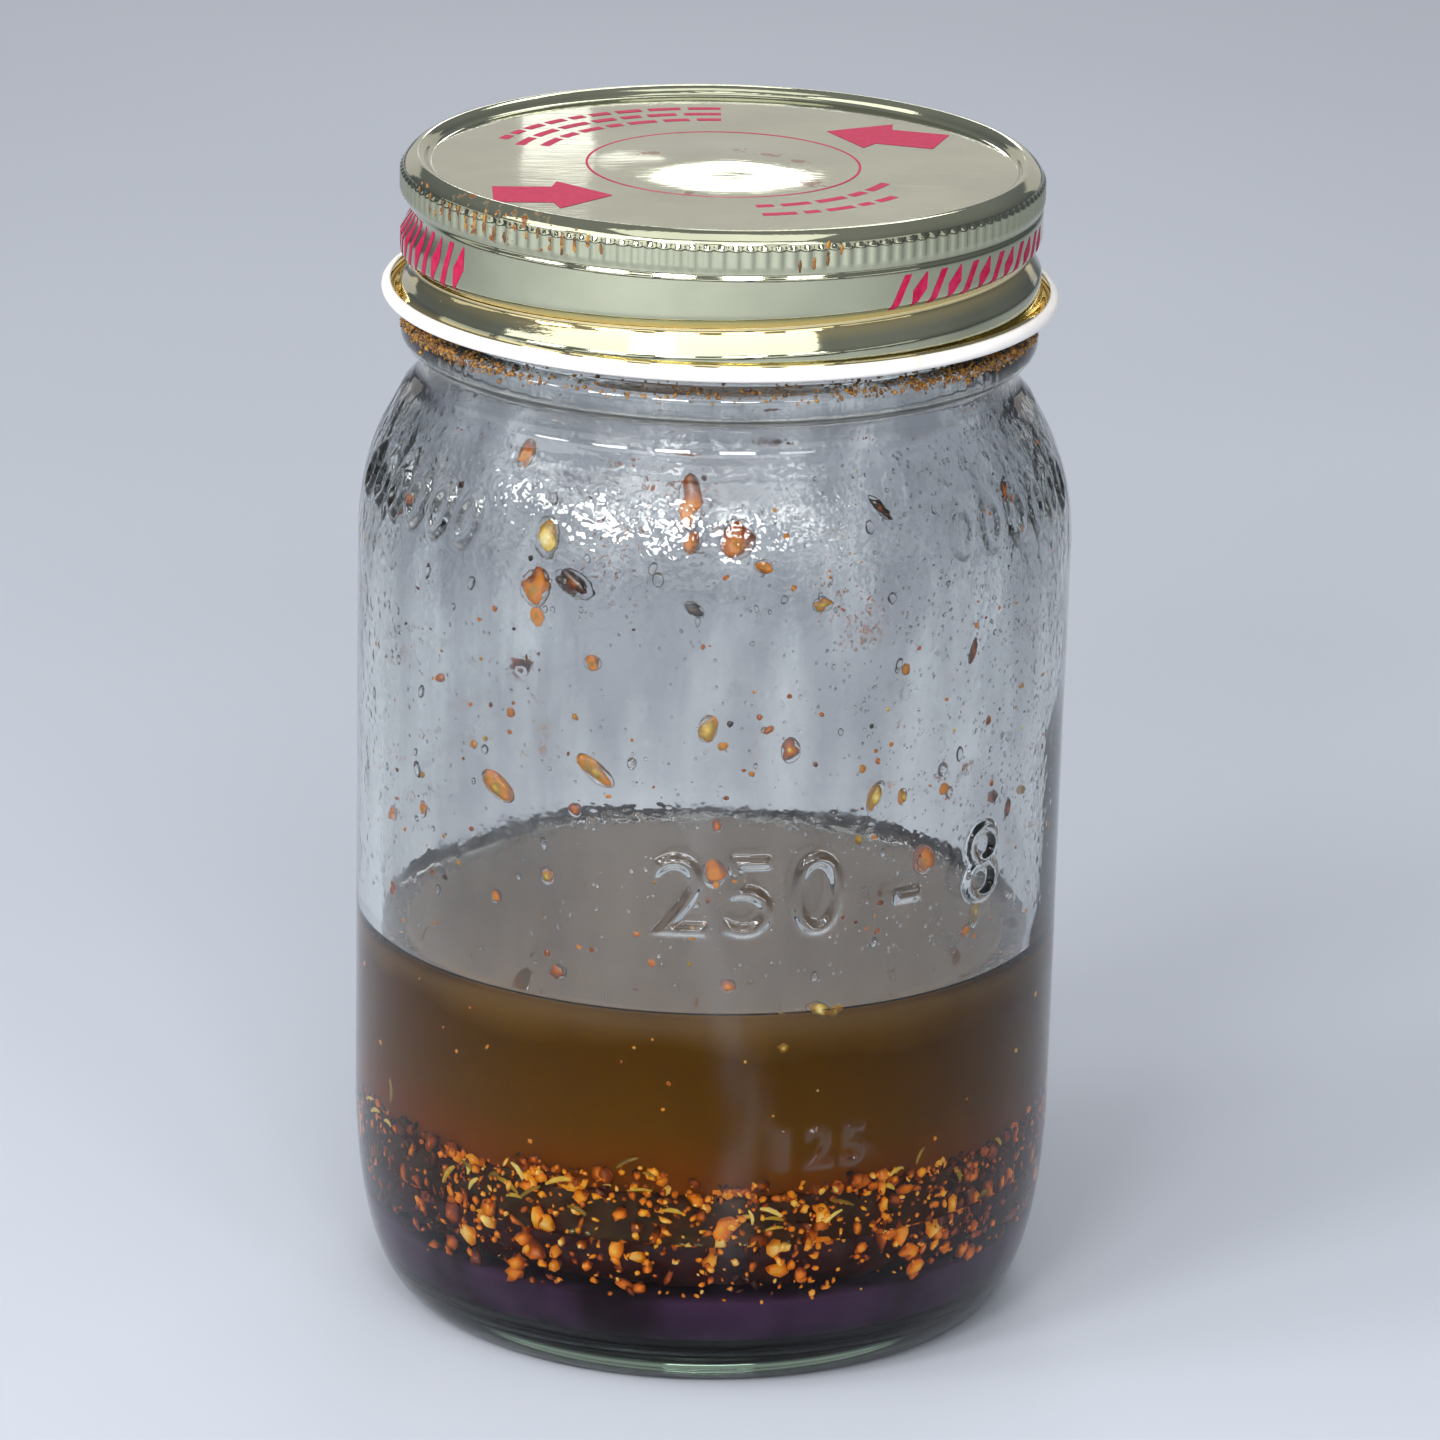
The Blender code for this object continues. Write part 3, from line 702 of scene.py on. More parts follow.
enamel = makeWhiteEnamel()
tin = makeLacqueredTin()
finishPiece(makeLid(), "screw_lid", [tin, enamel], "lid", ["lid_shell"])


printing = {
    "lift": 0.02,
    "thickness": 0.012,
    "ring": (15.0, 0.28),        # radius and width
    "arrows": [((-25.0, -16.3), (-12.0, -15.5)), ((24.4, 12.8), (11.6, 16.6))],    # tail and tip
    "arrowHead": 0.52,           # where the head starts, as a share of the length
    "barRows": [(124, (26.4, 23.7, 21.0), 33), (304, (19.2, 22.9), 23)],    # angle, radii, half width
    "barTall": 1.1,
    "barGap": 0.9,
    "skirtRows": [(174, 217), (303, 348)],
    "skirtMarks": 12,
    "skirtTop": 127.1,
    "skirtRadius": 35.7,
    "skirtScale": 1.25,
}


def makeInk():
    # red offset ink on tin, thin enough for the metal's sheen to lift it
    material = newMaterial("redLidInk")
    place = addNode(material, "TexCoord").outputs["Object"]
    worn = addNode(material, "TexNoise", {"Scale": 1200, "Detail": 4}, {"Vector": place})
    tone = addNode(material, "ValToRGB", {"stops": [(0.35, "#A60C3C"), (0.75, "#BC2C56")]},
                   {"Fac": worn.outputs[0]})
    rough = addNode(material, "MapRange", {"To Min": 0.45, "To Max": 0.6}, {"Value": worn.outputs[0]})
    setShader(material, {"IOR": 1.25},
              {"Base Color": tone.outputs[0], "Roughness": rough.outputs[0]})
    return material


def sheetPatch(columns, rows):
    # a flat grid from -0.5 to 0.5, to be laid on the lid
    deselectAll()
    bpy.ops.mesh.primitive_grid_add(x_subdivisions=columns, y_subdivisions=rows, size=1)
    return bpy.context.object


def joinPieces(pieces, name):
    choose(*pieces)
    bpy.ops.object.join()
    pieces[0].name = name
    return pieces[0]


def thicken(piece, thickness):
    choose(piece)
    wall = piece.modifiers.new("thickness", 'SOLIDIFY')
    wall.thickness = thickness * mm
    wall.offset = 1
    bpy.ops.object.modifier_apply(modifier=wall.name)
    return piece


def layOnPanel(piece):
    # puts a flat shape, drawn in millimetres round the lid's middle, on the panel and its dome
    where = pointsOf(piece)
    _, radii, _ = polar(where)
    reach, rise = lid["dome"]
    where[:, 2] = lid["panel"] + rise * (1 - ease(radii / reach)) + printing["lift"]
    movePoints(piece, where * mm)
    return piece


def makeRing():
    radius, width = printing["ring"]
    deselectAll()
    bpy.ops.mesh.primitive_circle_add(vertices=160, radius=radius, fill_type='NOTHING')
    bpy.ops.object.mode_set(mode='EDIT')
    bpy.ops.mesh.select_all(action='SELECT')
    bpy.ops.mesh.extrude_edges_move()
    bpy.ops.transform.resize(value=(1 + width / radius,) * 2 + (1,))
    bpy.ops.object.mode_set(mode='OBJECT')
    return layOnPanel(bpy.context.object)


def makeArrow(tail, tip):
    arrow = sheetPatch(20, 6)
    where = pointsOf(arrow)
    along = where[:, 0] + 0.5
    head = printing["arrowHead"]
    half = np.where(along < head, 3.5, 6.4 * (1 - (along - head) / (1 - head)) + 0.05)
    tail = np.array(tail)
    way = np.array(tip) - tail
    across = np.array([-way[1], way[0]]) / np.linalg.norm(way)
    spots = tail + along[:, None] * way + (where[:, 1] * 2 * half)[:, None] * across
    movePoints(arrow, np.column_stack([spots, np.zeros(len(spots))]))
    return layOnPanel(arrow)


def makeBar(angle, reach, long):
    # a short bar along a circle round the lid's middle, from that angle on; 57.3 degrees to a radian
    bar = sheetPatch(6, 1)
    where = pointsOf(bar)
    angles = angle + long / reach * (where[:, 0] * 57.3 + 28.6)
    radii = reach + where[:, 1] * printing["barTall"]
    movePoints(bar, around(angles, radii, np.zeros_like(radii)))
    return layOnPanel(bar)


def makePanelPrint():
    shapes = [makeRing()]
    for tail, tip in printing["arrows"]:
        shapes.append(makeArrow(tail, tip))
    # rows of short bars, where a lid has its small print
    random = np.random.default_rng(5)
    for angle, reaches, half in printing["barRows"]:
        for reach in reaches:
            at = -half
            while at < half:
                long = random.uniform(1.8, 4.2)
                shapes.append(makeBar(angle + at, reach, long))
                at += (long + printing["barGap"]) / reach * 57.3
    return thicken(joinPieces(shapes, "panel_print"), printing["thickness"])


def makeSkirtMark(angle, diamond):
    # a slanted bar or a diamond on the skirt, from over the rolled groove up
    patch = sheetPatch(4, 26)
    where = pointsOf(patch)
    up = where[:, 1] + 0.5
    wide = 1.5 if diamond else 0.75
    half = 1 - np.abs(up * 2 - 1) * 0.9 if diamond else 1.0
    low = lid["grooveHeight"] + glass["pitch"] * float(turnOf(np.array([angle]))[0]) + 1.0
    low = min(max(low, 121.5), 124.5)
    heights = low + up * (printing["skirtTop"] - low)
    side = where[:, 0] * wide * half + (up - 0.5) * 1.5
    angles = angle + np.degrees(side * printing["skirtScale"] / printing["skirtRadius"])
    radii = skirtRadius(angles, heights * mm) + printing["lift"] * mm
    movePoints(patch, around(angles, radii, heights * mm))
    return patch


def makeSkirtPrint():
    shapes = []
    for first, last in printing["skirtRows"]:
        for i, angle in enumerate(np.linspace(first, last, printing["skirtMarks"])):
            shapes.append(makeSkirtMark(angle, i % 2 == 1))
    return thicken(joinPieces(shapes, "skirt_print"), printing["thickness"])


def faceOut(piece):
    choose(piece)
    bpy.ops.object.mode_set(mode='EDIT')
    bpy.ops.mesh.select_all(action='SELECT')
    bpy.ops.mesh.normals_make_consistent(inside=False)
    bpy.ops.object.mode_set(mode='OBJECT')
    bpy.ops.object.shade_smooth_by_angle(angle=math.radians(40))
    return piece


ink = makeInk()
finishPiece(faceOut(makePanelPrint()), "panel_print", [ink], "lid")
finishPiece(faceOut(makeSkirtPrint()), "skirt_print", [ink], "lid")


def makeSeal():
    outline = joined(
        through([(33.8, 131.9), (34.3, 131.93), (34.55, 131.85), (34.7, 131.6)], 2),
        run((34.7, 131.6), (34.7, 130.75), 2),
        [(34.55, 130.62)],
        run((34.4, 130.6), (31.4, 130.6), 5),
        [(31.22, 130.68), (31.2, 130.85), (31.3, 131.03)],
        run((31.5, 131.05), (33.7, 131.05), 4))
    return turned("seal_ring", outline, 120)


def makeSealRubber():
    # plastisol poured into the lid's channel: matt, slightly rubbery, stained by the dressing
    material = newMaterial("plastisolSeal")
    place = addNode(material, "TexCoord").outputs["Object"]
    cloud = addNode(material, "TexNoise", {"Scale": 500, "Detail": 4}, {"Vector": place})
    tone = addNode(material, "ValToRGB", {"stops": [(0.3, "#DCCFC0"), (0.7, "#C9B08E")]},
                   {"Fac": cloud.outputs[0]})
    bump = addNode(material, "Bump", {"Strength": 0.2, "Distance": 0.0001}, {"Height": cloud.outputs[0]})
    setShader(material, {"Roughness": 0.55}, {"Base Color": tone.outputs[0], "Normal": bump.outputs[0]})
    return material


finishPiece(makeSeal(), "seal_rubber", [makeSealRubber()], "seal_ring", ["lid_gasket"])


dressing = {
    "intoGlass": 0.12,
    "level": 44.2,
    "meniscus": 1.1,
    "split": 18.0,
    "overlap": 0.1,
    "cloudInset": 3.0,
    "cloudFoot": 22.8,
    "cloudTop": 43.9,
    "leesInset": 1.3,
    "leesTop": 10.8,
}


def wallBetween(low, high, steps):
    heights = np.linspace(low, high, steps + 1)
    return [(innerAt(h * mm) / mm + dressing["intoGlass"], h) for h in heights]


def makeOil():
    low = dressing["split"] - dressing["overlap"]
    wall = wallBetween(low, dressing["level"] + dressing["meniscus"], 14)
    edge = wall[-1][0]
    level = dressing["level"]
    top = bend(wall[-1], (edge - 0.35, level + 0.05), (edge - 3.0, level), 8)
    outline = joined(run((0, low), (wall[0][0], low), 6), wall, top, run((edge - 3.0, level), (0, level), 8))
    oil = turned("olive_oil", outline, 144)
    _, radii, heights = polar(pointsOf(oil))
    setAttribute(oil, "dry", np.where((heights > (level - 0.01) * mm) & (radii < (edge - 2.6) * mm), 1, 0))
    return oil


def alongFloor(inset, high):
    # the jar's floor and heel, moved inwards, up to some height
    bottom = glass["floor"]
    floor = joined(run((0, bottom + 0.5), (20, bottom), 6), run((20, bottom), innerHeel[0], 4),
                   bend(*innerHeel, 22))
    below = [p for p in offset(floor, inset) if p[1] < high]
    below[0] = (0, bottom + 0.5 + inset)
    return below


def makeVinegar():
    high = dressing["split"] + dressing["overlap"]
    below = alongFloor(-dressing["intoGlass"], high - 0.6)
    side = (innerAt(high * mm) / mm + dressing["intoGlass"], high)
    outline = joined(below, [side], run(side, (0, high), 6))
    vinegar = turned("vinegar", outline, 144)
    setAttribute(vinegar, "dry", np.zeros(len(vinegar.data.vertices)))
    return vinegar


def makeCloud():
    # where the light turns back in the cloudy oil, a few millimetres behind the glass
    inset = dressing["cloudInset"]
    foot = dressing["cloudFoot"]
    top = dressing["cloudTop"]
    side = innerAt(top * mm) / mm - inset
    outline = joined(run((0, foot), (side - 1, foot), 6),
                     bend((side - 1, foot), (side, foot), (side, foot + 1), 3),
                     run((side, foot + 1), (side, top - 1), 12),
                     bend((side, top - 1), (side, top), (side - 1, top), 4),
                     run((side - 1, top), (0, top), 8))
    cloud = turned("oil_cloud", outline, 96)
    setAttribute(cloud, "rise", (pointsOf(cloud)[:, 2] / mm - foot) / (top - foot))
    return cloud


def makeLees():
    # the same in the vinegar below
    inset = dressing["leesInset"]
    top = dressing["leesTop"]
    below = alongFloor(inset, top - 0.4)
    lees = turned("vinegar_lees", joined(below, run((below[-1][0], top), (0, top), 8)), 96)
    setAttribute(lees, "rise", np.full(len(lees.data.vertices), 0.5))
    return lees


def makeCloudy(name, width, stops):
    # oil or vinegar cloudy with fine matter: soft drifts without a gloss of their own
    material = newMaterial(name)
    place = addNode(material, "TexCoord").outputs["Object"]
    # drifts of that width, taller than wide
    squeezed = addNode(material, "Mapping", {"Scale": (1, 1, 0.4)}, {"Vector": place})
    drift = addNode(material, "TexNoise", {"Scale": 1 / (width * mm), "Detail": 3},
                    {"Vector": squeezed.outputs[0]})
    rise = addNode(material, "Attribute", {"attribute_name": "rise"}).outputs["Fac"]
    level = addNode(material, "Math", {"operation": 'MULTIPLY_ADD', 1: 0.5, 2: -0.25}, {0: drift.outputs[0]})
    total = addNode(material, "Math", {"operation": 'ADD'}, {0: rise, 1: level.outputs[0]})
    tone = addNode(material, "ValToRGB", {"stops": stops}, {"Fac": total.outputs[0]})
    setShader(material, {"Roughness": 1.0, "IOR": 1.05}, {"Base Color": tone.outputs[0]})
    return material


def makeLiquid(name, ior, hexCode, density):
    # a clear liquid without a roughness of its own: its depth gives the colour
    material = newMaterial(name)
    place = addNode(material, "TexCoord").outputs["Object"]
    # slow ripples, 12 mm long
    ripples = addNode(material, "TexNoise", {"Scale": 80, "Detail": 1}, {"Vector": place})
    bump = addNode(material, "Bump", {"Strength": 0.06, "Distance": 0.0006}, {"Height": ripples.outputs[0]})
    dry = addNode(material, "Attribute", {"attribute_name": "dry"}).outputs["Fac"]
    clear = {"Base Color": linear("#FFFFFF"), "Transmission Weight": 1.0, "Roughness": 0.0, "IOR": ior}
    setShader(material, clear, {"Normal": bump.outputs[0], "Specular Tint": dry})
    absorbLight(material, hexCode, density)
    return material


# olive oil steeped with herbs: amber-brown in the depth of the jar
oil = makeLiquid("herbOliveOil", 1.47, "#EEE681", 221)
# dark vinegar: nearly black purple
vinegar = makeLiquid("darkVinegar", 1.34, "#A53594", 97)
finishPiece(makeOil(), "olive_oil", [oil], "jar", ["oil_layer"])
finishPiece(makeVinegar(), "vinegar", [vinegar], "jar", ["vinegar_layer"])
# amber-brown and redder over the chilli; the lighter, greyer brown at the top is a painted reflection on the
# oil's surface
cloudyOil = makeCloudy("cloudySteepedOil", 25, [(0.05, "#A2560E"), (0.35, "#86580E"), (0.8, "#744D0A"),
                                                (0.97, "#967046")])
cloudyVinegar = makeCloudy("cloudyVinegar", 14, [(0.42, "#2A1022"), (0.62, "#7A5886")])
finishPiece(makeCloud(), "oil_cloud", [cloudyOil], "jar")
finishPiece(makeLees(), "vinegar_lees", [cloudyVinegar], "jar")


def crumbShape(detail):
    # one round crumb of unit size, as corners and faces; scatter gives each copy its lumps
    deselectAll()
    bpy.ops.mesh.primitive_ico_sphere_add(subdivisions=detail, radius=0.5)
    crumb = bpy.context.object
    corners = pointsOf(crumb)
    faces = np.array([list(face.vertices) for face in crumb.data.polygons])
    bpy.data.objects.remove(crumb)
    return corners, faces


def needleShape():
    # a dried needle or stalk: six-sided, tapered, bent a little
    deselectAll()
    bpy.ops.mesh.primitive_cylinder_add(vertices=6, radius=0.5, depth=1, end_fill_type='TRIFAN')
    needle = bpy.context.object
    bpy.ops.object.mode_set(mode='EDIT')
    bpy.ops.mesh.select_all(action='SELECT')
    bpy.ops.mesh.bisect(plane_co=(0, 0, 0.15), plane_no=(0, 0, 1))
    bpy.ops.mesh.select_all(action='SELECT')
    bpy.ops.mesh.bisect(plane_co=(0, 0, -0.2), plane_no=(0, 0, 1))
    bpy.ops.mesh.select_all(action='SELECT')
    bpy.ops.mesh.quads_convert_to_tris()
    bpy.ops.object.mode_set(mode='OBJECT')
    corners = pointsOf(needle)
    taper = 1 - 0.5 * (corners[:, 2] * 2) ** 2
    corners[:, :2] *= taper[:, None]
    corners[:, 1] += 0.35 * np.cos(corners[:, 2] * 3.4)
    faces = np.array([list(face.vertices) for face in needle.data.polygons])
    bpy.data.objects.remove(needle)
    return corners, faces


def randomTurns(random, count):
    q = random.normal(size=(count, 4))
    q /= np.linalg.norm(q, axis=1)[:, None]
    w, x, y, z = q.T
    return np.stack([
        np.stack([1 - 2 * (y * y + z * z), 2 * (x * y - z * w), 2 * (x * z + y * w)], axis=1),
        np.stack([2 * (x * y + z * w), 1 - 2 * (x * x + z * z), 2 * (y * z - x * w)], axis=1),
        np.stack([2 * (x * z - y * w), 2 * (y * z + x * w), 1 - 2 * (x * x + y * y)], axis=1)], axis=1)


def wallTurns(angles, heights, tilts):
    # local X points out of the wall, Y round it and Z up it
    slope = (innerAt(heights + 0.4 * mm) - innerAt(heights - 0.4 * mm)) / (0.8 * mm)
    a = np.radians(angles)
    zero = np.zeros_like(a)
    up = np.stack([np.cos(a) * slope, np.sin(a) * slope, zero + 1], axis=1)
    up /= np.linalg.norm(up, axis=1)[:, None]
    along = np.stack([-np.sin(a), np.cos(a), zero], axis=1)
    out = np.cross(along, up)
    t = np.radians(tilts)[:, None]
    return np.stack([out, along * np.cos(t) + up * np.sin(t), up * np.cos(t) - along * np.sin(t)], axis=2)


def onWall(angles, heights, sunk):
    return around(angles, innerAt(heights) - sunk, heights)


def mixedSizes(random, count, middle, spread, least, most):
    # many small and a few large; the arguments are in millimetres
    return np.clip(random.lognormal(math.log(middle), spread, count), least, most)[:, None] * mm


def evenSizes(random, count, *ends):
    # three sizes each, evenly spread between their own ends
    return np.stack([random.uniform(*pair, count) for pair in ends], axis=1)


def scatter(name, shape, places, turns, sizes, tints, random, rough, waves=0.0, paintedShade=0.0):
    # many copies of one shape in a single piece, each with its own lumps and tint,
    # with painted shade: lighter where it faces the glass, as if lit through it, darker round its edge
    corners, faces = shape
    count = len(places)
    lumps = 1 + rough * random.uniform(-1, 1, (count, len(corners), 1))
    for _ in range(3):
        way = random.normal(size=(count, 1, 3)) * 5
        phase = random.uniform(0, math.tau, (count, 1, 1))
        lumps = lumps + waves * np.sin((corners[None] * way).sum(axis=2, keepdims=True) + phase)
    local = np.einsum("nij,nvj->nvi", turns, corners[None] * lumps * sizes[:, None, :])
    where = local + places[:, None, :]
    outward = places * [1, 1, 0]
    outward /= np.linalg.norm(outward, axis=1)[:, None]
    facing = (local * outward[:, None]).sum(axis=2) / (np.linalg.norm(local, axis=2) + 1e-9)
    numbers = faces[None] + (np.arange(count) * len(corners))[:, None, None]
    mesh = bpy.data.meshes.new(name)
    mesh.from_pydata(where.reshape(-1, 3), [], numbers.reshape(-1, 3))
    mesh.validate()
    piece = bpy.data.objects.new(name, mesh)
    bpy.context.scene.collection.objects.link(piece)
    # the tint carries the painted shade: the side towards the glass lighter, the edge darker
    setAttribute(piece, "tint", (tints[:, None] + paintedShade * (facing - 0.5)).ravel())
    choose(piece)
    bpy.ops.object.shade_smooth()
    return piece


def makeSpice(name, stops, roughness, scale, paintedGlow=0.0):
    # steeped garlic, chilli and herbs: soft, wet, uneven in colour; the glow is painted light,
    # an emission in their own colour standing for the light that oil-soaked crumbs let through
    material = newMaterial(name)
    place = addNode(material, "TexCoord").outputs["Object"]
    tint = addNode(material, "Attribute", {"attribute_name": "tint"}).outputs["Fac"]
    cloud = addNode(material, "TexNoise", {"Scale": scale, "Detail": 4}, {"Vector": place})
    shift = addNode(material, "Math", {"operation": 'MULTIPLY_ADD', 1: 0.44, 2: -0.22},
                    {0: cloud.outputs[0]})
    total = addNode(material, "Math", {"operation": 'ADD'}, {0: tint, 1: shift.outputs[0]})
    tone = addNode(material, "ValToRGB", {"stops": stops}, {"Fac": total.outputs[0]})
    bump = addNode(material, "Bump", {"Strength": 0.35, "Distance": 0.0002}, {"Height": cloud.outputs[0]})
    # the emission strength is the painted glow
    setShader(material, {"Roughness": roughness, "Coat Weight": 0.3, "Coat Roughness": 0.1,
                         "Emission Strength": paintedGlow},
              {"Base Color": tone.outputs[0], "Emission Color": tone.outputs[0], "Normal": bump.outputs[0]})
    return material


bed = {
    # each kind of crumb on the wall: how many, fineness, usual size, spread, smallest, largest
    "wallCrumbs": (660, 2, 1.25, 0.34, 0.7, 2.6),
    "fineCrumbs": (2400, 1, 0.6, 0.35, 0.3, 1.1),
    "topCrumbs": 420,
    "specks": 46,
    "speckHeights": (27, 43),
    "low": 10.4,
    "high": 25.2,
    "waves": [(0.9, 3, 0.6), (0.6, 7, 2.1), (0.35, 17, 0)],    # of its upper edge: rise, count, phase
    "core": (34.4, 23.4),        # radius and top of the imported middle
    "coreFoot": 11.6,
    "sideDepth": 0.9,            # how much deeper it lies towards the sides
    # painted shade that darkens the crumbs towards the sides, on the wall and on top
    "sideShade": 0.22,
    "topSideShade": 0.3,
}


def bedTop(angles):
    # uneven upper edge of the settled seasoning, in millimetres
    a = np.radians(angles)
    return bed["high"] + sum(rise * np.sin(a * count + phase) for rise, count, phase in bed["waves"])


def makeBedCore():
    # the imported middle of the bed: rough and dark at its side, silted over smoothly on top
    radius, top = bed["core"]
    foot = bed["coreFoot"]
    outline = joined(run((0, foot), (28, foot), 14), bend((28, foot), (33.6, foot), (radius, foot + 5), 8),
                     run((radius, foot + 5), (radius, top - 1), 6),
                     bend((radius, top - 1), (radius, top), (radius - 1.5, top), 3),
                     run((radius - 1.5, top), (0, top), 18))
    core = turned("bed_core", outline, 120)
    random = np.random.default_rng(12)
    where = pointsOf(core)
    angles, radii, heights = polar(where)
    silted = ease((heights / mm - top + 0.5) / 0.4) * ease((33.6 - radii / mm) / 3)
    push = random.uniform(-0.5, 0.5, (len(where), 3)) * (1 - silted)[:, None]
    push[:, 2] += silted * 0.35 * ripple(angles, radii * 2, 14, 12)
    push[radii < 1e-6] = 0
    movePoints(core, where + push * mm)
    packed = random.uniform(0.0, 0.2, len(where))
    setAttribute(core, "tint", np.where(silted > 0, 0.2 + 0.7 * silted, packed))
    return core


def aside(angles):
    # 0 within 36 degrees of the front, 1 past 66
    return ease((awayFrom(angles, 270) - 36) / 30)


def makeWallCrumbs(random, kind):
    count, detail, middle, spread, least, most = kind
    angles = random.uniform(0, 360, count)
    share = random.beta(1.7, 1.15, count)
    heights = (bed["low"] + (bedTop(angles) - bed["low"]) * share) * mm
    sizes = mixedSizes(random, count, middle, spread, least, most)
    sizes = sizes * random.uniform(0.45, 1.1, (count, 3)) * np.array([1, 1, 1.5])
    # towards the sides they lie deeper in the cloudy vinegar
    deep = random.exponential(0.55, count) + bed["sideDepth"] * aside(angles)
    places = onWall(angles, heights, sizes.max(axis=1) * 0.42 + (0.05 + deep) * mm)
    # painted shade: the deeper and the further to the side, the darker the tint
    tints = np.clip(random.normal(0.6, 0.2, count), 0.1, 0.88) - 0.14 * np.minimum(deep, 2.5)
    tints = tints - bed["sideShade"] * aside(angles)
    turns = randomTurns(random, count)
    return scatter("bed_part", crumbShape(detail), places, turns, sizes, tints, random,
                   rough=0.26, waves=0.08, paintedShade=0.3)


def makeTopCrumbs(random):
    # a few where the silt meets the glass
    count = bed["topCrumbs"]
    angles = random.uniform(0, 360, count)
    radii = random.uniform(32.5, 35.4, count)
    sizes = mixedSizes(random, count, 0.9, 0.45, 0.4, 2.2) * random.uniform(0.65, 1.15, (count, 3))
    level = bed["core"][1] + random.uniform(-0.3, 0.9, count) + 0.4 * (bedTop(angles) - bed["high"])
    places = around(angles, radii, level) * mm
    # painted shade: darker towards the sides
    tints = np.clip(random.normal(0.5, 0.22, count), 0, 1) - bed["topSideShade"] * aside(angles)
    turns = randomTurns(random, count)
    return scatter("bed_part", crumbShape(1), places, turns, sizes, tints, random, rough=0.2)


def makeSpecks(random):
    # specks that hang in the oil
    count = bed["specks"]
    angles = random.uniform(0, 360, count)
    heights = random.uniform(*bed["speckHeights"], count) * mm
    sizes = random.uniform(0.25, 0.6, (count, 1)) * random.uniform(0.6, 1.3, (count, 3)) * mm
    places = onWall(angles, heights, random.uniform(0.5, 2.4, count) * mm)
    tints = random.uniform(0.45, 0.9, count)
    turns = randomTurns(random, count)
    return scatter("bed_part", crumbShape(1), places, turns, sizes, tints, random, rough=0.2)


def makeBed():
    # coarse crumbs against the glass, fine ones between them, then those on top and in the oil
    random = np.random.default_rng(31)
    groups = [makeWallCrumbs(random, bed[kind]) for kind in ("wallCrumbs", "fineCrumbs")]
    groups.append(makeTopCrumbs(random))
    groups.append(makeSpecks(random))
    return joinPieces(groups, "seasoning_crumbs")


spiceStops = [(0.0, "#1E0602"), (0.22, "#4E1804"), (0.42, "#A84804"), (0.6, "#EE8206"), (0.78, "#FFAE1C"),
              (1.0, "#FFDE86")]
siltStops = [(0.0, "#2A0A08"), (0.25, "#4A160A"), (0.75, "#6E4410"), (1.0, "#8E6020")]
# the crumbs and the silt get a painted glow, an emission in their own colour
spice = makeSpice("steepedChilliAndGarlic", spiceStops, 0.35, 900, 0.32)
silt = makeSpice("siltUnderOil", siltStops, 0.6, 500, 0.2)
finishPiece(makeBedCore(), "seasoning_mass", [silt], "jar", ["seasoning_bed"])
finishPiece(makeBed(), "seasoning_crumbs", [spice], "jar")


herbs = {
    "count": 52,
    "front": (18, 225, 320),     # how many of them lie in front, and between which angles
    "below": (-2.6, 1.8),        # height against the bed's top, and its spread
    "width": (0.4, 0.7),
    "length": (1.4, 3.4),
}


def makeHerbs():
    random = np.random.default_rng(17)
    count = herbs["count"]
    front, first, last = herbs["front"]
    angles = np.concatenate([random.uniform(first, last, front), random.uniform(0, 360, count - front)])
    heights = (bedTop(angles) + random.normal(*herbs["below"], count)) * mm
    sizes = evenSizes(random, count, herbs["width"], herbs["width"], herbs["length"]) * mm
    into = (0.3 + random.exponential(0.25, count)) * mm
    # each lies along the wall, more level than upright
    tilts = 90 + random.normal(0, 32, count)
    into = into + (sizes[:, 2] ** 2) / (8 * 36 * mm)
    places = onWall(angles, heights, into)
    tints = random.uniform(0, 1, count)
    turns = wallTurns(angles, heights, tilts)
    return scatter("herbs", needleShape(), places, turns, sizes, tints, random, rough=0.05)


herbStops = [(0.0, "#7A5A12"), (0.4, "#B8901E"), (0.75, "#E6C04A"), (1.0, "#F6DC80")]
# the herbs get a painted glow, an emission in their own colour
herb = makeSpice("driedHerbStalk", herbStops, 0.5, 1500, 0.3)
herbNodes = [f"herb_needle_{i:02d}" for i in range(1, 13)]
finishPiece(makeHerbs(), "herb_needles", [herb], "jar", herbNodes)

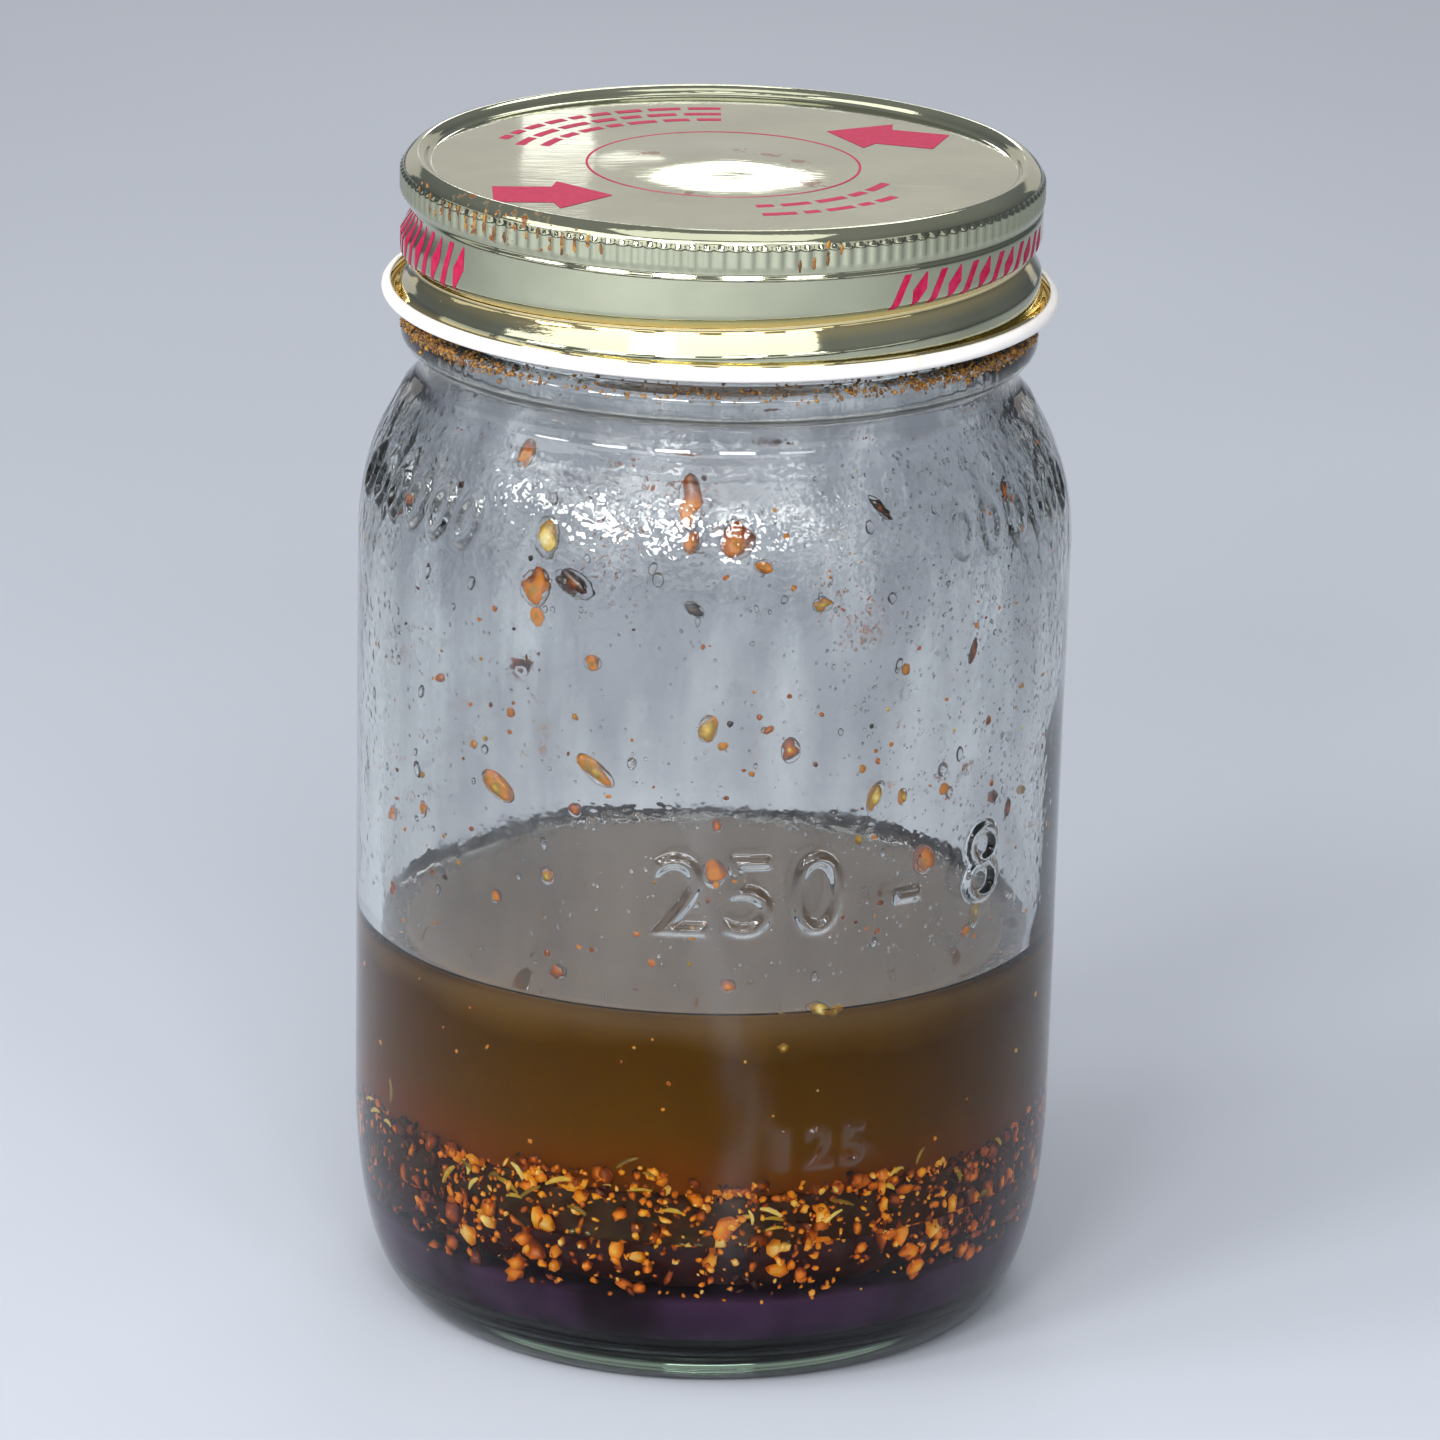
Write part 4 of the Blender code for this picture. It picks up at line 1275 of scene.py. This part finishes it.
# flakes that cling to the wall above the dressing: angle, height, width, length, tilt, tint
wallFlakes = [
    (231.9, 104.6, 1.7, 2.6, 10, 0.52), (240.7, 97.2, 2.2, 3.6, 5, 0.88), (239.5, 91.9, 2.7, 3.2, -15, 0.58),
    (240.2, 89.0, 1.3, 1.6, 0, 0.62), (246.5, 93.0, 3.6, 2.2, -20, 0.18), (265.6, 102.0, 2.0, 4.6, 4, 0.50),
    (266.0, 98.5, 1.8, 2.2, 0, 0.46), (273.8, 98.6, 3.0, 3.4, -8, 0.48), (278.3, 96.0, 1.5, 1.1, 0, 0.6),
    (288.1, 91.8, 1.9, 1.3, 0, 0.72), (250.3, 84.6, 1.5, 1.5, 0, 0.55), (267.0, 91.5, 0.9, 2.0, 60, 0.05),
    (269.7, 78.1, 1.6, 2.5, -10, 0.75), (283.4, 75.6, 1.7, 2.3, 5, 0.4), (251.0, 72.4, 1.7, 4.0, 52, 0.72),
    (232.6, 68.4, 2.1, 3.8, 62, 0.66), (298.6, 69.3, 1.4, 3.0, -22, 0.8), (303.9, 68.8, 1.0, 1.6, 0, 0.76),
    (215.3, 63.0, 1.0, 1.6, 0, 0.55), (247.6, 67.5, 1.2, 1.3, 0, 0.3), (271.6, 67.0, 0.9, 1.2, 0, 0.4),
    (271.2, 61.5, 2.1, 2.6, 0, 0.5), (242.7, 59.4, 1.4, 1.6, 0, 0.7), (232.7, 55.7, 1.2, 1.3, 0, 0.5),
    (205.7, 51.9, 1.5, 1.9, 0, 0.3), (308.9, 60.9, 2.2, 2.8, 10, 0.5), (321.5, 53.0, 1.6, 3.0, -10, 0.85),
    (319.2, 51.1, 1.2, 1.3, 0, 0.55), (329.7, 63.7, 1.0, 2.1, -8, 0.25), (274.0, 48.5, 1.3, 1.2, 0, 0.45),
    (289.7, 45.2, 2.6, 1.3, -25, 0.86), (292.5, 44.9, 1.6, 1.0, 20, 0.8), (283.6, 41.2, 1.0, 0.9, 0, 0.8),
    (205.0, 60.5, 1.4, 1.4, 0, 0.5), (245.0, 48.5, 1.6, 1.3, 0, 0.35), (318.0, 84.0, 0.9, 2.4, -15, 0.3),
    (300.0, 101.0, 0.9, 2.6, 35, 0.1), (330.0, 99.5, 1.0, 1.8, 0, 0.35), (96, 82.0, 2.4, 3.0, 20, 0.6),
    (61, 70.5, 2.0, 2.8, -30, 0.75), (128, 64.0, 2.6, 2.0, 10, 0.5), (35, 57.0, 1.8, 2.4, 0, 0.55),
    (155, 88.5, 2.0, 2.6, 25, 0.7), (80, 93.0, 2.6, 2.4, 0, 0.45), (110, 74.0, 1.5, 2.2, -20, 0.65),
    (12, 77.0, 1.7, 2.0, 10, 0.5), (170, 72.0, 1.5, 1.8, 0, 0.6),
]


wallPieces = {
    "specks": 340,
    "beads": 240,
    "mist": 2600,
    "mistThick": (325, 22),      # where half of the mist gathers, and its spread
}


def makeFlakes(random):
    # the listed flakes, and round each a drop of oil
    angles, heights, width, length, tilts, tints = np.array(wallFlakes, dtype=float).T
    thick = np.clip(np.minimum(width, length) * 0.4, 0.4, 0.9)
    sizes = np.stack([thick, width, length], axis=1) * mm
    places = onWall(angles, heights * mm, (thick / 2 - 0.1) * mm)
    turns = wallTurns(angles, heights * mm, tilts)
    flakes = scatter("flakes", crumbShape(3), places, turns, sizes, tints, random,
                     rough=0.04, waves=0.17, paintedShade=0.3)
    halo = sizes * np.array([0.45, 1.3, 1.3])
    halos = scatter("halos", crumbShape(3), places, turns, halo, np.zeros(len(tints)), random,
                    rough=0.01, waves=0.03)
    return flakes, halos


def makeDots(random):
    count = wallPieces["specks"]
    angles = random.uniform(0, 360, count)
    heights = (48 + 58 * random.beta(1.2, 1.4, count)) * mm
    sizes = mixedSizes(random, count, 0.55, 0.42, 0.25, 1.4)
    sizes = sizes * random.uniform(0.7, 1.2, (count, 3)) * np.array([0.5, 1, 1])
    places = onWall(angles, heights, sizes[:, 0] / 2 - 0.08 * mm)
    turns = wallTurns(angles, heights, random.uniform(0, 180, count))
    tints = np.clip(random.normal(0.45, 0.22, count), 0, 1)
    return scatter("specks", crumbShape(2), places, turns, sizes, tints, random, rough=0.08, waves=0.1)


def makeBeads(random):
    # clear drops of oil that hang a little longer than wide
    count = wallPieces["beads"]
    angles = random.uniform(0, 360, count)
    heights = (48 + 57 * random.beta(1.2, 1.2, count)) * mm
    sizes = mixedSizes(random, count, 0.7, 0.4, 0.35, 1.6)
    sizes = sizes * evenSizes(random, count, (0.16, 0.3), (0.8, 1.0), (0.9, 1.7))
    places = onWall(angles, heights, sizes[:, 0] * 0.12)
    turns = wallTurns(angles, heights, random.normal(0, 12, count))
    return scatter("beads", crumbShape(2), places, turns, sizes, np.zeros(count), random,
                   rough=0.01, waves=0.04)


def makeMist(random):
    # tiny drops, thickest on the right and at the shoulder
    count = wallPieces["mist"]
    half = count // 2
    angles = np.concatenate([random.normal(*wallPieces["mistThick"], half),
                             random.uniform(0, 360, count - half)])
    heights = (49 + 58 * random.beta(1.1, 1.0, count)) * mm
    sizes = random.uniform(0.14, 0.42, (count, 1)) * np.array([0.35, 1, 1.2]) * mm
    places = onWall(angles, heights, sizes[:, 0] * 0.15)
    turns = wallTurns(angles, heights, np.zeros(count))
    return scatter("mist", crumbShape(1), places, turns, sizes, np.zeros(count), random, rough=0.05)


# all four draw from one generator, in this order
wallRandom = np.random.default_rng(23)
flakes, halos = makeFlakes(wallRandom)
dots = makeDots(wallRandom)
beads = makeBeads(wallRandom)
mist = makeMist(wallRandom)
flakeStops = [(0.0, "#1E0E06"), (0.18, "#4E2404"), (0.36, "#A85002"), (0.56, "#D67E02"), (0.72, "#9A7404"),
              (0.86, "#DCB028"), (1.0, "#F6E6A6")]
# the flakes get a faint painted glow, an emission in their own colour
flakeSpice = makeSpice("wetChilliFlake", flakeStops, 0.3, 900, 0.12)
dropOil = makeLiquid("oilDrops", 1.47, "#F9F6C6", 55)
flakeNodes = [f"wall_flake_{i:02d}" for i in range(1, 23)]
flakes = joinPieces([flakes, dots], "wall_flakes")
finishPiece(flakes, "wall_flakes", [flakeSpice], "jar", flakeNodes)
drops = joinPieces([beads, halos, mist], "oil_drops")
setAttribute(drops, "dry", np.ones(len(drops.data.vertices)))
finishPiece(drops, "oil_drops", [dropOil], "jar")


residue = {
    # where it gathers on the bead, as middle angle, spread and how many
    "bead": [(208, 13, 620), (325, 17, 640)],
    "beadThin": [(225, 300, 110), (0, 360, 260)],    # and between which angles there is a little
    "beadHeight": (114.6, 0.45),
    "knurl": [(222, 10, 46), (243, 4, 18), (287, 2, 8)],
    "fluteStep": 2.5,
}


def makeCrust():
    # dried dressing in crumbs on the bead under the lid
    random = np.random.default_rng(41)
    angles = np.concatenate([random.normal(*place) for place in residue["bead"]]
                            + [random.uniform(*place) for place in residue["beadThin"]])
    count = len(angles)
    middle, spread = residue["beadHeight"]
    heights = np.clip(middle + random.normal(0, spread, count), 112.6, 115.6)
    profile = np.array(through(glass["bead"][::-1], 4))
    radii = np.interp(heights, profile[:, 1], profile[:, 0])
    sizes = mixedSizes(random, count, 0.36, 0.35, 0.2, 0.8) * random.uniform(0.6, 1.2, (count, 3))
    places = around(angles, radii, heights) * mm
    tints = random.uniform(0, 1, count)
    turns = randomTurns(random, count)
    return scatter("crust", crumbShape(1), places, turns, sizes, tints, random, rough=0.2)


def makeLidCrumbs():
    # the same residue between the flutes of the lid's knurl
    random = np.random.default_rng(43)
    angles = np.concatenate([random.normal(*place) for place in residue["knurl"]])
    step = residue["fluteStep"]
    angles = np.round((angles + step / 2) / step) * step - step / 2
    count = len(angles)
    heights = random.uniform(128.9, 131.6, count)
    sizes = evenSizes(random, count, (0.15, 0.3), (0.3, 0.6), (0.5, 1.4)) * mm
    radii = 35.5 - 0.3 * (heights > 131.2)
    places = around(angles, radii, heights) * mm
    turns = wallTurns(angles, np.full(count, 60 * mm), random.normal(0, 8, count))
    tints = random.uniform(0, 1, count)
    return scatter("lid_crumbs", crumbShape(2), places, turns, sizes, tints, random, rough=0.2)


crust = makeSpice("driedDressing", [(0.0, "#462A08"), (0.5, "#845616"), (1.0, "#AC7A26")], 0.45, 2000)
finishPiece(makeCrust(), "bead_crust", [crust], "jar")
finishPiece(makeLidCrumbs(), "knurl_crust", [crust], "lid")


def makeStage():
    deselectAll()
    bpy.ops.mesh.primitive_grid_add(x_subdivisions=8, y_subdivisions=8, size=6)
    floor = bpy.context.object
    floor.name = "floor"
    material = newMaterial("paleTable")
    place = addNode(material, "TexCoord").outputs["Object"]
    cloud = addNode(material, "TexNoise", {"Scale": 3, "Detail": 2}, {"Vector": place})
    tone = addNode(material, "ValToRGB", {"stops": [(0.3, "#B7BCC6"), (0.7, "#BEC3CC")]},
                   {"Fac": cloud.outputs[0]})
    setShader(material, {"Roughness": 0.7}, {"Base Color": tone.outputs[0]})
    floor.data.materials.append(material)


def addSoftbox(name, place, aim, size, power, hexCode="#FFFFFF", roll=0):
    data = bpy.data.lights.new(name, 'AREA')
    data.color = linear(hexCode)[:3]
    data.shape = 'RECTANGLE'
    data.size, data.size_y = size
    data.energy = power
    lamp = bpy.data.objects.new(name, data)
    bpy.context.scene.collection.objects.link(lamp)
    lamp.location = place
    turn = (Vector(aim) - Vector(place)).to_track_quat('-Z', 'Y').to_matrix()
    lamp.rotation_euler = (turn @ Matrix.Rotation(math.radians(roll), 3, 'Z')).to_euler()


lamps = {
    # turn round the jar from the front, and power
    "window": ((-68, 2.2), (-42, 4.0), (-17, 4.0), (8, 3.2), (31, 0.9)),
    "room": ((-102, 0.2), (-70, 0.35), (-38, 0.5), (-6, 0.5), (26, 0.4), (58, 0.2)),
}


def makeLamps():
    addSoftbox("overhead", (0.0, -0.24, 1.05), (0, 0, 0.09), (0.8, 0.5), 1.7)
    addSoftbox("front_high", (0.0, -0.68, 0.78), (0, 0, 0.11), (1.0, 0.3), 2.1)
    # a row of window panes at the front left, and the pale room below them
    for kind, height, aim, size in (("window", 0.62, 0.09, (0.24, 0.15)), ("room", 0.31, 0.11, (0.52, 0.2))):
        for i, (turn, power) in enumerate(lamps[kind]):
            a = math.radians(turn)
            addSoftbox(f"{kind}_{i}", (math.sin(a), -math.cos(a), height), (0, 0, aim), size, power)
    addSoftbox("back_window", (-0.03, 0.80, 0.43), (0, 0, 0.13), (0.18, 0.05), 0.22, roll=12)
    addSoftbox("back_high", (0.15, 0.62, 0.80), (0, 0, 0.10), (0.40, 0.20), 1.0)
    addSoftbox("back_glow", (0.0, 1.20, 0.32), (0, 0, 0.10), (1.6, 0.45), 1.15, "#FFF8EF")
    # a bright slit that the panel mirrors
    addSoftbox("back_slit", (-0.025, 0.30, 0.201), (0, 0, 0.13), (0.010, 0.008), 0.0004)
    addSoftbox("left", (-0.62, -0.36, 0.80), (0, 0, 0.11), (1.0, 0.3), 2.0)


def makeWorld():
    # pale above and darker round the horizon
    world = bpy.data.worlds.new("studio")
    bpy.context.scene.world = world
    world.use_nodes = True
    place = addNode(world, "TexCoord").outputs["Generated"]
    parts = addNode(world, "SeparateXYZ", None, {0: place})
    upward = addNode(world, "Math", {"operation": 'MULTIPLY_ADD', 1: 0.5, 2: 0.5}, {0: parts.outputs["Z"]})
    tone = addNode(world, "ValToRGB", {"stops": [(0.5, "#7C828C"), (0.9, "#C8CCD2")]},
                   {0: upward.outputs[0]})
    background = world.node_tree.nodes["Background"]
    background.inputs["Strength"].default_value = 0.55
    world.node_tree.links.new(tone.outputs[0], background.inputs["Color"])


def makeCamera():
    view = {"place": (0, -0.8535, 0.3404), "down": 17.764, "yaw": 0.076, "roll": -1.402, "lens": 197.9}
    data = bpy.data.cameras.new("camera")
    data.lens = view["lens"]
    data.sensor_width = 36
    data.clip_start = 0.05
    camera = bpy.data.objects.new("camera", data)
    bpy.context.scene.collection.objects.link(camera)
    down, yaw, roll = (math.radians(view[k]) for k in ("down", "yaw", "roll"))
    ahead = Vector((math.sin(yaw) * math.cos(down), math.cos(yaw) * math.cos(down), -math.sin(down)))
    right = ahead.cross(Vector((0, 0, 1))).normalized()
    up = right.cross(ahead)
    side = right * math.cos(roll) - up * math.sin(roll)
    top = right * math.sin(roll) + up * math.cos(roll)
    turn = Matrix((side, top, -ahead)).transposed()
    camera.matrix_world = Matrix.Translation(view["place"]) @ turn.to_4x4()
    bpy.context.scene.camera = camera


makeStage()
makeLamps()
makeWorld()
makeCamera()
bpy.context.scene.view_settings.view_transform = 'Standard'
